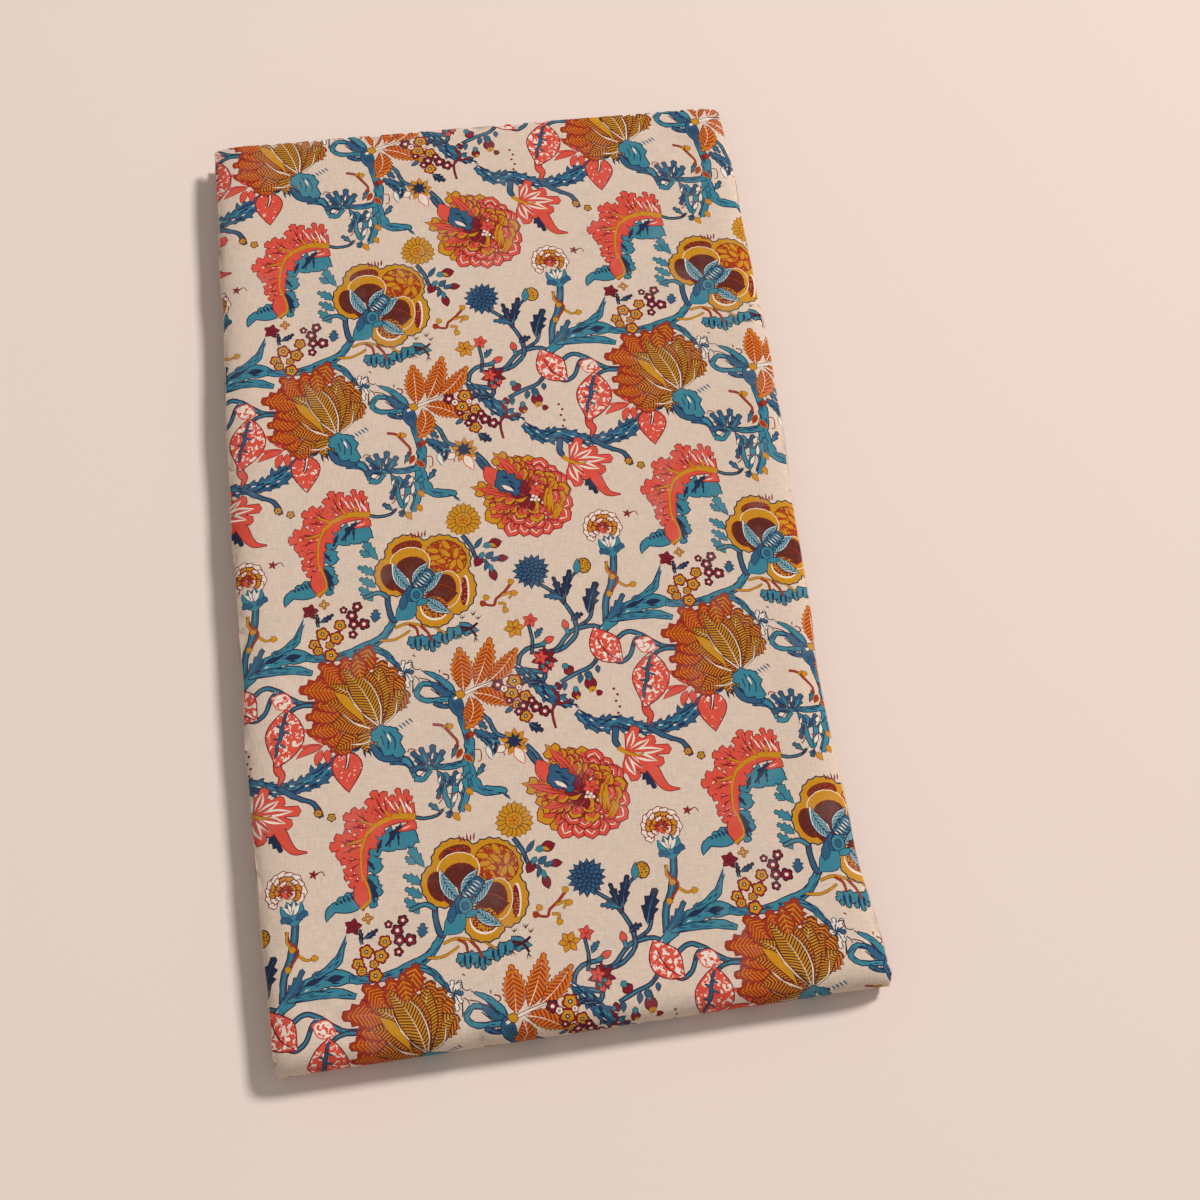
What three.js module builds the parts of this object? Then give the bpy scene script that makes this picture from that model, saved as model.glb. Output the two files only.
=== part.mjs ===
// Printed crepe cloth, folded back and forth and then doubled over into a flat pack.
// Millimetres, +Z up. +X runs across the pack, +Y along it, away from the smooth doubled fold.
// The origin is the middle of the footprint, on the surface the pack lies on.
import * as THREE from 'three';

// Driving dimensions
const PACK_LENGTH = 554;
const PACK_WIDTH = 316;
const NESTED_TURNS = 5;
const LAYER_THICKNESS = 1.5;
const LAYER_PITCH = 2.3;
const LAYERS = 2 * NESTED_TURNS;
const PACK_HEIGHT = (LAYERS - 1) * LAYER_PITCH + LAYER_THICKNESS;

// How finely the form is cut
const RUN_SPANS = 8;
const TURN_SEGMENTS = 8;
const WIDTH_SPANS = 10;

// Soft rolled margins: how wide the roll is and how far the layers press together in it
const SIDE_ROLL = { width: 19, press: 0.27 };
const FAR_ROLL = { width: 42, press: 0.13 };

// How far the doubled fold runs out of square from the left corner to the right one
const NEAR_SKEW = 6;

// Outline of the pack: place along its length, and how far each side stands in from the full width
const OUTLINE = [
  { along: -277, leftInset: 1.5, rightInset: 2 },
  { along: -188, leftInset: 0, rightInset: 6.5 },
  { along: -114, leftInset: 0.5, rightInset: 6.5 },
  { along: -18, leftInset: 1.5, rightInset: 3 },
  { along: 75, leftInset: 3, rightInset: 0 },
  { along: 177, leftInset: 5, rightInset: 0.5 },
  { along: 245, leftInset: 6, rightInset: 2 },
  { along: 277, leftInset: 8.5, rightInset: 5 },
];

// How far each far turn or free end stops short of the pack's far edge, from the lowest layer up
const FAR_INSETS = { lowEnd: 3, lowTurns: [5, 1.5], innerEnd: 7, highTurns: [0, 4] };

// Uneven stacking of the layer edges, and the slow swell of the upper faces
const EDGE_WANDER = { reach: 1.1, wavelength: 8.7 };
const SWELL = { share: 0.014, across: 190, along: 260 };

const middle = PACK_HEIGHT / 2;
const outerRadius = (NESTED_TURNS - 0.5) * LAYER_PITCH;
const nearCentre = -PACK_LENGTH / 2 + outerRadius + LAYER_THICKNESS / 2;
const farEdge = PACK_LENGTH / 2;

// Distance of a nested turn's middle line from the middle of the pack's height
function turnRadius(turn) {
  return (NESTED_TURNS - 0.5 - turn) * LAYER_PITCH;
}

// The length of cloth as straight runs and round turns, from the free end under the pack
// to the free end in its middle. Turn 0 is the outermost, and side is +1 above the middle.
function clothRoute() {
  const turnEnd = farEdge - LAYER_PITCH / 2 - LAYER_THICKNESS / 2;
  const legs = [];
  let side = -1;
  let from = farEdge - FAR_INSETS.lowEnd;
  for (let turn = 0; turn < NESTED_TURNS; turn++) {
    const last = turn === NESTED_TURNS - 1;
    const insets = side < 0 ? FAR_INSETS.highTurns : FAR_INSETS.lowTurns;
    const to = last ? farEdge - FAR_INSETS.innerEnd : turnEnd - insets[turn >> 1];
    const radius = turnRadius(turn);
    legs.push({ kind: 'run', from, to: nearCentre, z: middle + side * radius });
    legs.push({ kind: 'turn', y: nearCentre, z: middle, radius, near: true, down: side > 0 });
    side = -side;
    legs.push({ kind: 'run', from: nearCentre, to, z: middle + side * radius });
    if (!last) {
      const z = middle + side * (radius - LAYER_PITCH / 2);
      legs.push({ kind: 'turn', y: to, z, radius: LAYER_PITCH / 2, near: false, down: side > 0 });
      from = to;
    }
  }
  return legs;
}

// Points of one face of the cloth along a leg. The face on the left of the way the cloth
// runs has offset +half a thickness, and the one on its right has -half.
function facePoints(leg, offset) {
  const points = [];
  if (leg.kind === 'run') {
    const forward = Math.sign(leg.to - leg.from);
    for (let i = 1; i < RUN_SPANS; i++) {
      const y = leg.from + (leg.to - leg.from) * i / RUN_SPANS;
      points.push(new THREE.Vector2(y, leg.z + forward * offset));
    }
    return points;
  }
  // A near turn bulges towards -Y and a far turn towards +Y
  const bulge = leg.near ? -1 : 1;
  const start = leg.down ? 1 : -1;
  const clockwise = bulge * start > 0;
  const radius = leg.radius + (clockwise ? offset : -offset);
  for (let i = 0; i <= TURN_SEGMENTS; i++) {
    const angle = Math.PI * i / TURN_SEGMENTS;
    points.push(new THREE.Vector2(
      leg.y + bulge * radius * Math.sin(angle),
      leg.z + start * radius * Math.cos(angle),
    ));
  }
  return points;
}

// The back-and-forth section: out along one face of the cloth and back along the other
function clothSection() {
  const legs = clothRoute();
  const half = LAYER_THICKNESS / 2;
  const first = legs[0];
  const final = legs[legs.length - 1];
  const endPoint = (y, z, offset, forward) => new THREE.Vector2(y, z + forward * offset);
  const out = [endPoint(first.from, first.z, half, Math.sign(first.to - first.from))];
  const back = [endPoint(first.from, first.z, -half, Math.sign(first.to - first.from))];
  for (const leg of legs) {
    out.push(...facePoints(leg, half));
    back.push(...facePoints(leg, -half));
  }
  out.push(endPoint(final.to, final.z, half, Math.sign(final.to - final.from)));
  back.push(endPoint(final.to, final.z, -half, Math.sign(final.to - final.from)));
  return new THREE.Shape([...out, ...back.reverse()]);
}

// A value between the rows of the outline table
function outlineInset(y, column) {
  const last = OUTLINE.length - 1;
  if (y <= OUTLINE[0].along) return OUTLINE[0][column];
  if (y >= OUTLINE[last].along) return OUTLINE[last][column];
  const i = OUTLINE.findIndex((row) => row.along > y);
  const low = OUTLINE[i - 1];
  const high = OUTLINE[i];
  const t = THREE.MathUtils.smoothstep(y, low.along, high.along);
  return low[column] + (high[column] - low[column]) * t;
}

// How much of its full height the pack keeps at a distance in from a rolled margin
function rolled(distance, roll) {
  const t = THREE.MathUtils.clamp(1 - distance / roll.width, 0, 1);
  return 1 - roll.press * (1 - Math.sqrt(1 - t * t));
}

// Stations across the width, -1 at the left side and +1 at the right, closer in the margins
function widthStation(t) {
  const s = Math.sin(Math.PI / 2 * (2 * t - 1));
  return (s + Math.sin(Math.PI / 2 * s)) / 2;
}

// Bends the straight block of layers into the soft, slightly uneven pack
function settle(geometry) {
  const place = geometry.attributes.position;
  for (let i = 0; i < place.count; i++) {
    const y = place.getX(i);
    const z = place.getY(i);
    const across = widthStation(place.getZ(i));
    const wander = EDGE_WANDER.reach * Math.sin(2 * Math.PI * z / EDGE_WANDER.wavelength + across);
    const left = -PACK_WIDTH / 2 + outlineInset(y, 'leftInset') + wander;
    const right = PACK_WIDTH / 2 - outlineInset(y, 'rightInset') + wander;
    const x = left + (right - left) * (across + 1) / 2;
    const swell = SWELL.share * Math.sin(x / SWELL.across + 1) * Math.cos(y / SWELL.along);
    const keep = rolled(Math.min(x - left, right - x), SIDE_ROLL) * rolled(farEdge - y, FAR_ROLL) + swell;
    const skew = NEAR_SKEW * (across / 2) * THREE.MathUtils.clamp(0.5 - y / PACK_LENGTH, 0, 1);
    place.setXYZ(i, x, y + skew, z * keep);
  }
  return geometry;
}

function foldedCloth() {
  const section = clothSection();
  const options = { depth: 1, steps: WIDTH_SPANS, bevelEnabled: false };
  const geometry = settle(new THREE.ExtrudeGeometry(section, options));
  geometry.computeBoundingBox();
  const box = geometry.boundingBox;
  geometry.translate(-(box.min.x + box.max.x) / 2, -(box.min.y + box.max.y) / 2, -box.min.z);
  geometry.computeVertexNormals();
  const crepe = new THREE.MeshStandardMaterial({ color: 0xd3bba3, roughness: 0.92, metalness: 0 });
  crepe.name = 'printed_crepe';
  const mesh = new THREE.Mesh(geometry, crepe);
  mesh.name = 'folded_cloth';
  return mesh;
}

const group = new THREE.Group();
group.name = 'printed_crepe_fabric';
group.add(foldedCloth());

export default group;
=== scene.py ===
"""Printed crepe cloth, folded back and forth and doubled over into a flat pack."""
import logging
import math
from collections.abc import Sequence
from dataclasses import dataclass, field, replace
from enum import Enum

import bpy
import numpy as np
from mathutils import Euler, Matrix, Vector
from mathutils.bvhtree import BVHTree
from mathutils.geometry import delaunay_2d_cdt


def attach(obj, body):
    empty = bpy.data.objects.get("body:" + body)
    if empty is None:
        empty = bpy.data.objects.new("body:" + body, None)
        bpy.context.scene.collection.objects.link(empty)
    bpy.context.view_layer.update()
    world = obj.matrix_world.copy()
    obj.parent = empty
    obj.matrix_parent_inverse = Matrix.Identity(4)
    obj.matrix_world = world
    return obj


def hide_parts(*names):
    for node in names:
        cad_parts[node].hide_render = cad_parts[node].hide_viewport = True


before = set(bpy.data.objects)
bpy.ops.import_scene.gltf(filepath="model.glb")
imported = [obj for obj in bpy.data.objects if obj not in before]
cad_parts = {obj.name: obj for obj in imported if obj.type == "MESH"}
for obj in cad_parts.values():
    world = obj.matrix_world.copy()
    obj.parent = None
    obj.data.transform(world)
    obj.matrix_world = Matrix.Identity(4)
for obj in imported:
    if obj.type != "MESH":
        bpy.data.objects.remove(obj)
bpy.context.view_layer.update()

MM = 0.001
THOUSANDTH = 0.001
log = logging.getLogger("crepe_pack")

Points = np.ndarray
Place = tuple[float, float]


class Ink(Enum):
    """Colours that the cloth is printed with, as they look in daylight."""

    GROUND = (214, 190, 170)
    CREAM = (230, 211, 194)
    TEAL = (58, 124, 140)
    STEEL = (48, 88, 116)
    NAVY = (34, 44, 70)
    OCHRE = (196, 134, 26)
    AMBER = (206, 116, 26)
    RUST = (158, 52, 24)
    CORAL = (212, 78, 60)
    MAROON = (124, 26, 36)
    BROWN = (92, 38, 28)
    PLUM = (58, 26, 38)
    REVERSE = (196, 178, 160)

    def linear(self) -> tuple[float, float, float, float]:
        """The colour as the linear values that a mesh attribute holds."""
        red, green, blue = (linear_channel(part / 255) for part in self.value)
        return red, green, blue, 1.0


class Figure(Enum):
    """How the inside of a printed shape is drawn."""

    PLAIN = 0
    STRIPES = 1
    MARBLE = 2
    DOTS = 3


def linear_channel(share: float) -> float:
    """Turns one screen colour channel into linear light.

    Args:
        share: The channel from 0 to 1, as a screen shows it.

    Returns:
        The linear value.
    """
    return share / 12.92 if share <= 0.04045 else ((share + 0.055) / 1.055) ** 2.4


def smooth_curve(points: Sequence[Place], steps: int) -> Points:
    """Draws a smooth curve through a few places.

    Args:
        points: The places it passes, in order.
        steps: How many steps each span takes.

    Returns:
        The points of the curve, one a row.
    """
    rows = np.array(points, float)
    if len(rows) < 3:
        shares = np.linspace(0, 1, steps + 1)[:, None]
        return rows[0] + (rows[-1] - rows[0]) * shares
    ahead = np.vstack([2 * rows[0] - rows[1], rows, 2 * rows[-1] - rows[-2]])
    drawn = []
    for i in range(1, len(ahead) - 2):
        before, start, end, after = ahead[i - 1:i + 3]
        for step in range(steps):
            t = step / steps
            drawn.append(0.5 * (2 * start + (end - before) * t
                                + (2 * before - 5 * start + 4 * end - after) * t ** 2
                                + (3 * start - before - 3 * end + after) * t ** 3))
    drawn.append(rows[-1])
    return np.array(drawn)


def sideways(line: Points) -> Points:
    """The unit direction to the left of a line at each of its points."""
    along = np.gradient(line, axis=0)
    along /= np.maximum(np.linalg.norm(along, axis=1, keepdims=True), 1e-9)
    return np.stack([-along[:, 1], along[:, 0]], axis=1)


def grown(outline: Points, reach: float) -> Points:
    """Moves a closed outline outwards.

    Args:
        outline: Its points, one a row.
        reach: How far each point moves.

    Returns:
        The larger outline.
    """
    before, after = np.roll(outline, 1, axis=0), np.roll(outline, -1, axis=0)
    area = np.sum(before[:, 0] * outline[:, 1] - before[:, 1] * outline[:, 0])
    along = after - before
    along /= np.maximum(np.linalg.norm(along, axis=1, keepdims=True), 1e-9)
    out = np.stack([along[:, 1], -along[:, 0]], axis=1) * (1 if area > 0 else -1)
    return outline + out * reach


def leaf_shape(base: Place, tip: Place, width: float, bend: float = 0.0, peak: float = 0.42, teeth: int = 0,
               depth: float = 0.3, steps: int = 5) -> tuple[Points, Points]:
    """Works out a leaf or petal with an optional toothed edge.

    Args:
        base: Where it grows from.
        tip: Where it ends.
        width: Its full width.
        bend: How far its spine bows to the left, as a share of its length.
        peak: Where along it is widest.
        teeth: Teeth on each side.
        depth: How deep they are, as a share of the half width.
        steps: Stations along a side that has no teeth.

    Returns:
        Its outline and its spine.
    """
    start, end = np.array(base, float), np.array(tip, float)
    reach = end - start
    control = (start + end) / 2 + np.array([-reach[1], reach[0]]) * bend
    if teeth:
        stations = np.sort(np.concatenate([np.arange(1, teeth) / teeth, (np.arange(teeth) + 0.42) / teeth]))
        points = np.arange(len(stations)) % 2 == 0
        swing = np.where(points, 1 + depth, 1 - depth)
        lean = np.where(points, 0.42 / teeth, 0.0)
    else:
        stations = np.linspace(0, 1, steps + 2)[1:-1]
        swing, lean = 1.0, 0.0
    t = np.concatenate([stations, np.linspace(0, 1, 9)])[:, None]
    spine = start * (1 - t) ** 2 + 2 * control * t * (1 - t) + end * t ** 2
    middle, spine = spine[:len(stations)], spine[len(stations):]
    normal = sideways(spine)
    side = np.stack([np.interp(stations, np.linspace(0, 1, 9), normal[:, k]) for k in (0, 1)], axis=1)
    half = width / 2 * np.sin(math.pi * stations ** (math.log(0.5) / math.log(peak)))
    out = side * (half * swing)[:, None]
    forward = reach[None] * (np.zeros(len(stations)) + lean)[:, None]
    return np.vstack([start, middle + out + forward, end, (middle - out + forward)[::-1]]), spine


@dataclass
class Patch:
    """One flat shape of the print, drawn in thousandths of the repeat and scaled to shares of it.

    The lines of a striped patch branch from its spine at a slant.
    """

    outline: Points
    ink: Ink
    figure: Figure = Figure.PLAIN
    line_ink: Ink = Ink.GROUND
    share: float = 0.4
    spine: Points | None = None
    spacing: float = 11.0
    slant: float = 0.9
    rim: bool = False

    def scaled(self, share: float) -> "Patch":
        """The same patch with its sizes multiplied."""
        spine = None if self.spine is None else self.spine * share
        return replace(self, outline=self.outline * share, spine=spine, spacing=self.spacing * share)

    def phase(self, places: Points) -> Points:
        """Counts the stripes from the foot of the spine to some places.

        Args:
            places: Places in the same flat coordinates as the outline, one a row.

        Returns:
            The count at each place, with its fraction.
        """
        start, end = self.spine[:-1], self.spine[1:]
        span = end - start
        length = np.maximum(np.linalg.norm(span, axis=1), 1e-9)
        walked = np.concatenate([[0.0], np.cumsum(length)])[:-1]
        offset = places[:, None, :] - start[None]
        share = np.clip(np.sum(offset * span[None], axis=2) / length ** 2, 0, 1)
        away = np.linalg.norm(offset - share[..., None] * span[None], axis=2)
        nearest = np.argmin(away, axis=1)
        rows = np.arange(len(places))
        along = walked[nearest] + share[rows, nearest] * length[nearest]
        return (along - self.slant * away[rows, nearest]) / self.spacing + 40.0


@dataclass
class Pen:
    """Draws the shapes that the print's motifs are made of, from the lowest up.

    Lengths are thousandths of the repeat.
    """

    edge: float = 3.8
    patches: list[Patch] = field(default_factory=list)
    chance: np.random.Generator = field(default_factory=lambda: np.random.default_rng(7))

    def shape(self, outline: Points, ink: Ink, edge: float | None = None, edge_ink: Ink = Ink.PLUM,
              **drawn: object) -> None:
        """Lays down a filled shape over its dark outline.

        Args:
            outline: The shape's points, one a row.
            ink: Its colour.
            edge: Width of the outline, the pen's own width if none is given, or 0 for none.
            edge_ink: Colour of the outline.
            drawn: How the inside is drawn, as Patch has it.
        """
        width = self.edge if edge is None else edge
        if width > 0:
            self.patches.append(Patch(grown(outline, width), edge_ink, rim=True))
        self.patches.append(Patch(outline, ink, **drawn))

    def mass(self, outlines: Sequence[Points], ink: Ink, edge: float = 3.6, edge_ink: Ink = Ink.PLUM,
             **drawn: object) -> None:
        """Lays down several shapes that run together inside one dark outline.

        Args:
            outlines: Their outlines.
            ink: Their colour.
            edge: Width of the outline.
            edge_ink: Colour of the outline.
            drawn: How the inside is drawn, as Patch has it.
        """
        self.patches += [Patch(grown(outline, edge), edge_ink, rim=True) for outline in outlines]
        self.patches += [Patch(outline, ink, **drawn) for outline in outlines]

    def leaf(self, base: Place, tip: Place, width: float, ink: Ink, bend: float = 0.0, peak: float = 0.42,
             teeth: int = 0, depth: float = 0.3, vein: Ink | None = None, vein_width: float = 4.0,
             steps: int = 5, **drawn: object) -> None:
        """Draws a leaf or petal.

        Args:
            base: Where it grows from.
            tip: Where it ends.
            width: Its full width.
            ink: Its colour.
            bend: How far its spine bows to the left, as a share of its length.
            peak: Where along it is widest.
            teeth: Teeth on each side.
            depth: How deep they are, as a share of the half width.
            vein: Colour of the middle vein.
            vein_width: Width of the vein at its foot.
            steps: Stations along a side that has no teeth.
            drawn: What shape takes.
        """
        outline, spine = leaf_shape(base, tip, width, bend, peak, teeth, depth, steps)
        self.shape(outline, ink, spine=spine, **drawn)
        if vein:
            self.stroke(spine[:-1], (vein_width, vein_width * 0.35), vein, edge=0)

    def edged_leaf(self, base: Place, tip: Place, width: float, margin: Ink, ink: Ink, bend: float = 0.0,
                   peak: float = 0.45, teeth: int = 5, lines: Ink = Ink.MAROON, vein: Ink = Ink.CREAM,
                   spacing: float = 12.5, share: float = 0.3, inside: float = 0.84,
                   edge_ink: Ink = Ink.BROWN) -> None:
        """Draws a leaf with a bright margin, a darker striped inside and a pale midrib.

        Args:
            base: Where it grows from.
            tip: Where it ends.
            width: Its full width.
            margin: Colour of its margin.
            ink: Colour inside.
            bend: How far its spine bows to the left, as a share of its length.
            peak: Where along it is widest.
            teeth: Teeth on each side.
            lines: Colour of the stripes.
            vein: Colour of the midrib.
            spacing: Distance between stripes.
            share: Share of that distance that a stripe takes.
            inside: Width inside the margin, as a share of the leaf's.
            edge_ink: Colour of the outline.
        """
        start, end = np.array(base, float), np.array(tip, float)
        self.leaf(base, tip, width, margin, bend=bend, peak=peak, teeth=teeth, depth=0.16, edge=3.2,
                  edge_ink=edge_ink)
        self.leaf(base, start + (end - start) * 0.95, width * inside, ink, bend=bend, peak=peak, steps=6,
                  edge=0, vein=vein, vein_width=3, figure=Figure.STRIPES, line_ink=lines, share=share,
                  spacing=spacing, slant=-0.8)

    def stroke(self, line: Points | Sequence[Place], widths: Sequence[float], ink: Ink, steps: int = 3,
               teeth: float = 0.0, **drawn: object) -> Points:
        """Draws a stem, vine or branch along a smooth line.

        Args:
            line: The places it passes.
            widths: Its width at even steps from start to end.
            ink: Its colour.
            steps: Steps that each span takes.
            teeth: How ragged its edges are, as a share of the width.
            drawn: What shape takes.

        Returns:
            The points of its middle line.
        """
        middle = smooth_curve(line, steps) if len(line) < 7 or steps > 3 else np.array(line, float)
        shares = np.linspace(0, 1, len(middle))
        width = np.interp(shares, np.linspace(0, 1, len(widths)), widths)
        left, right = width / 2, width / 2
        if teeth:
            left = left * (1 + teeth * self.chance.uniform(-1, 1, len(middle)))
            right = right * (1 + teeth * self.chance.uniform(-1, 1, len(middle)))
        side = sideways(middle)
        outline = np.vstack([middle + side * left[:, None], (middle - side * right[:, None])[::-1]])
        self.shape(outline, ink, **drawn)
        return middle

    def leaves(self, rows: Sequence[tuple], *common: object, **drawn: object) -> None:
        """Draws several leaves alike.

        Args:
            rows: What differs in each, in leaf's order from base and tip on.
            common: What they share of the rest, in the same order.
            drawn: What leaf takes by name.
        """
        for row in rows:
            self.leaf(*row, *common, **drawn)

    def strokes(self, lines: Sequence, *common: object, **drawn: object) -> None:
        """Draws several stems alike.

        Args:
            lines: The line of each, or its line with what else differs, in stroke's order.
            common: What they share of the rest, in the same order.
            drawn: What stroke takes by name.
        """
        for line in lines:
            row = line if isinstance(line, tuple) else (line,)
            self.stroke(*row, *common, **drawn)

    def streaks(self, middle: Points, half: float, ink: Ink, count: int, length: float, width: float,
                reach: float = 0.8) -> None:
        """Scatters short strokes along a branch.

        Args:
            middle: The branch's middle line.
            half: Half of its width.
            ink: Their colour.
            count: How many there are.
            length: About how long they are.
            width: Their width.
            reach: How far out they go, as a share of half.
        """
        side, lean = sideways(middle), np.gradient(middle, axis=0)
        lean /= np.linalg.norm(lean, axis=1, keepdims=True)
        for i in self.chance.integers(0, len(middle) - 1, count):
            foot = middle[i] + side[i] * half * self.chance.uniform(-reach, reach)
            along = lean[i] * length * self.chance.uniform(0.7, 1.3)
            across = side[i] * half * self.chance.uniform(-0.3, 0.3)
            self.leaf(foot, foot + along + across, width, ink, edge=0, steps=2)

    def disc(self, centre: Place, radius: float, ink: Ink, lobes: int = 0, depth: float = 0.0,
             steps: int = 10, squash: float = 1.0, turn: float = 0.0, **drawn: object) -> None:
        """Draws a round or scalloped disc.

        Args:
            centre: Its middle.
            radius: Its mean radius.
            ink: Its colour.
            lobes: Scallops round it.
            depth: How deep they are, as a share of the radius.
            steps: Points round it.
            squash: Its height as a share of its width.
            turn: How far it is turned, in degrees.
            drawn: What shape takes.
        """
        angle = np.linspace(0, 2 * math.pi, steps, endpoint=False)
        reach = radius * (1 + depth * (np.abs(np.cos(lobes * angle / 2)) * 2 - 1))
        flat = np.stack([reach * np.cos(angle), reach * np.sin(angle) * squash], axis=1)
        c, s = math.cos(math.radians(turn)), math.sin(math.radians(turn))
        self.shape(np.array(centre) + flat @ np.array([[c, s], [-s, c]]), ink, **drawn)

    def petals(self, centre: Place, inner: float, outer: float, count: int, width: float, ink: Ink,
               first: float = 0.0, sweep: float = 360.0, **drawn: object) -> None:
        """Draws a ring of petals.

        Args:
            centre: Middle of the flower.
            inner: Where the petals start.
            outer: Where they end.
            count: How many there are.
            width: Width of each.
            ink: Their colour.
            first: Direction of the first, in degrees.
            sweep: How far round they go, in degrees.
            drawn: What leaf takes.
        """
        for i in range(count):
            angle = math.radians(first + sweep * i / count)
            ray = np.array([math.cos(angle), math.sin(angle)])
            middle = np.array(centre)
            reach = outer * (1 + 0.05 * math.sin(7.3 * i))
            self.leaf(middle + ray * inner, middle + ray * reach, width, ink, **drawn)


@dataclass
class TrailingFlowers:
    """One repeat of the print: large flowers and pods on mossy branches and vines.

    Places and widths are thousandths of the lengthwise repeat from the eye of the trumpet
    flower, with y running towards the doubled fold.
    """

    pen: Pen = field(default_factory=Pen)

    def draw(self) -> list[Patch]:
        """Draws the whole repeat, from the lowest shape up.

        Returns:
            Its shapes, in shares of the repeat.
        """
        self.vines()
        self.mossy_branches()
        self.teal_branches()
        self.small_leaves()
        self.curly_sprigs()
        self.marbled_leaves()
        self.acanthus_leaf()
        self.star_leaf()
        self.leaf_spray()
        self.seed_pod()
        self.blossom_clusters()
        self.peony()
        self.spiky_dahlia()
        self.gold_daisy()
        self.carnation()
        self.trumpet_flower()
        self.bud_sprigs()
        return [patch.scaled(THOUSANDTH) for patch in self.pen.patches]

    def rosette(self, centre: Place, radius: float, ink: Ink, rim: Ink = Ink.MAROON,
                heart: Ink = Ink.PLUM) -> None:
        """A small five-petalled flower.

        Args:
            centre: Its middle.
            radius: Its radius.
            ink: Colour of its petals.
            rim: Colour round them.
            heart: Colour of its eye.
        """
        pen = self.pen
        turn = 0.36 * (centre[0] * 31.7 + centre[1] * 17.3)
        pen.disc(centre, radius, rim, lobes=5, depth=0.13, steps=20, edge=0, turn=turn)
        pen.disc(centre, radius * 0.7, ink, lobes=5, depth=0.2, steps=15, edge=0, turn=turn)
        pen.disc(centre, radius * 0.32, heart, steps=7, edge=0)
        pen.disc(centre, radius * 0.14, Ink.CREAM, steps=5, edge=0)

    def bud(self, base: Place, tip: Place, width: float, ink: Ink = Ink.MAROON, cup: Ink = Ink.TEAL) -> None:
        """A closed bud in its cup."""
        start, end = np.array(base, float), np.array(tip, float)
        self.pen.leaf(start, end, width, ink, peak=0.55, edge=2.5)
        self.pen.leaf(start - (end - start) * 0.25, start + (end - start) * 0.4, width * 0.6, cup, edge=2,
                      steps=3)

    def vines(self) -> None:
        """Thin twisting vines, blue-grey between dark edges."""
        pen = self.pen
        for line, widths in (
            ([(-330, 295), (-400, 280), (-455, 235), (-500, 215), (-548, 245), (-565, 285),
              (-540, 312), (-505, 295), (-478, 245), (-450, 238)], (16, 11)),
            ([(-335, 300), (-390, 290), (-430, 305), (-455, 345)], (14, 10)),
            ([(600, 160), (565, 190), (520, 176), (465, 183), (435, 205), (405, 235),
              (360, 243)], (14, 12)),
            ([(478, 155), (474, 195), (440, 228), (400, 243), (350, 235)], (13, 13)),
            ([(370, 215), (320, 218), (288, 240), (275, 285), (285, 300)], (14, 10)),
            ([(385, 10), (425, 45), (452, 85), (472, 130), (478, 170)], (8, 12)),
            ([(455, 90), (460, 50), (475, 20), (510, -12)], (7, 6)),
            ([(490, 170), (525, 150), (545, 100)], (9, 8)),
            ([(135, 400), (160, 430), (175, 475), (215, 500), (255, 520)], (14, 10)),
            ([(260, 530), (285, 565), (300, 600)], (18, 16)),
            ([(305, 290), (355, 310), (330, 350)], (14, 12)),
            ([(400, 345), (450, 325), (500, 310), (530, 280)], (12, 11)),
            ([(325, 240), (335, 190), (330, 130)], (9, 6)),
            ([(175, -190), (195, -150), (205, -110), (235, -90)], (13, 9)),
            ([(636, -60), (632, -20), (612, 50), (585, 100), (572, 170)], (22, 26, 20)),
            ([(-120, -312), (-80, -298), (-40, -300), (-20, -315)], (8, 6)),
        ):
            slim = [width * 0.74 for width in widths]
            middle = pen.stroke(line, slim, Ink.STEEL, steps=4, teeth=0.12, edge=3.4, edge_ink=Ink.PLUM)
            pen.stroke(middle[1:-1:2], (slim[0] * 0.4, slim[1] * 0.3), Ink.TEAL, steps=2, edge=0)
            pen.streaks(middle, slim[0] / 2, Ink.PLUM, len(middle) // 4, 20, 3, reach=0.5)

    def mossy_branches(self) -> None:
        """Dark ragged branches, hatched with navy and cream."""
        pen = self.pen
        for line, widths in (
            ([(270, 270), (315, 320), (360, 385), (420, 425)], (14, 32, 40, 16)),
            ([(430, 450), (480, 500), (545, 505), (620, 535), (700, 540), (760, 520), (830, 475),
              (875, 455)], (20, 40, 42, 30, 34, 50, 30, 12)),
            ([(115, 460), (145, 485), (165, 500), (155, 530)], (12, 26, 16, 8)),
        ):
            middle = smooth_curve(line, 5)
            side, lean = sideways(middle), np.gradient(middle, axis=0)
            lean /= np.linalg.norm(lean, axis=1, keepdims=True)
            shares = np.linspace(0, 1, len(middle))
            half = np.interp(shares, np.linspace(0, 1, len(widths)), widths)[:, None] / 2
            tufts = [np.vstack([middle + side * half, (middle - side * half)[::-1]])]
            for i in range(1, len(middle) - 1):
                way = 1 if i % 2 else -1
                foot = middle[i] + side[i] * half[i] * 0.3 * way
                tip = foot + side[i] * half[i] * way * pen.chance.uniform(0.9, 1.6) + lean[i] * 14
                tufts.append(leaf_shape(foot, tip, 13, steps=3)[0])
            pen.mass(tufts, Ink.STEEL, edge=2.8, edge_ink=Ink.NAVY)
            for i in range(len(middle)):
                foot = middle[i] + side[i] * half[i] * pen.chance.uniform(-0.7, 0.7)
                pen.leaf(foot, foot + lean[i] * 22, 9, Ink.TEAL, edge=0, steps=2)
                for _ in range(2):
                    foot = middle[i] + side[i] * half[i] * pen.chance.uniform(-0.9, 0.9)
                    stroke = lean[i] * pen.chance.uniform(16, 30) + side[i] * pen.chance.uniform(-6, 6)
                    pen.leaf(foot, foot + stroke, 7.5, Ink.NAVY, edge=0, steps=2)
                if i % 3 == 0:
                    foot = middle[i] + side[i] * half[i] * pen.chance.uniform(-0.6, 0.6)
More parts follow.
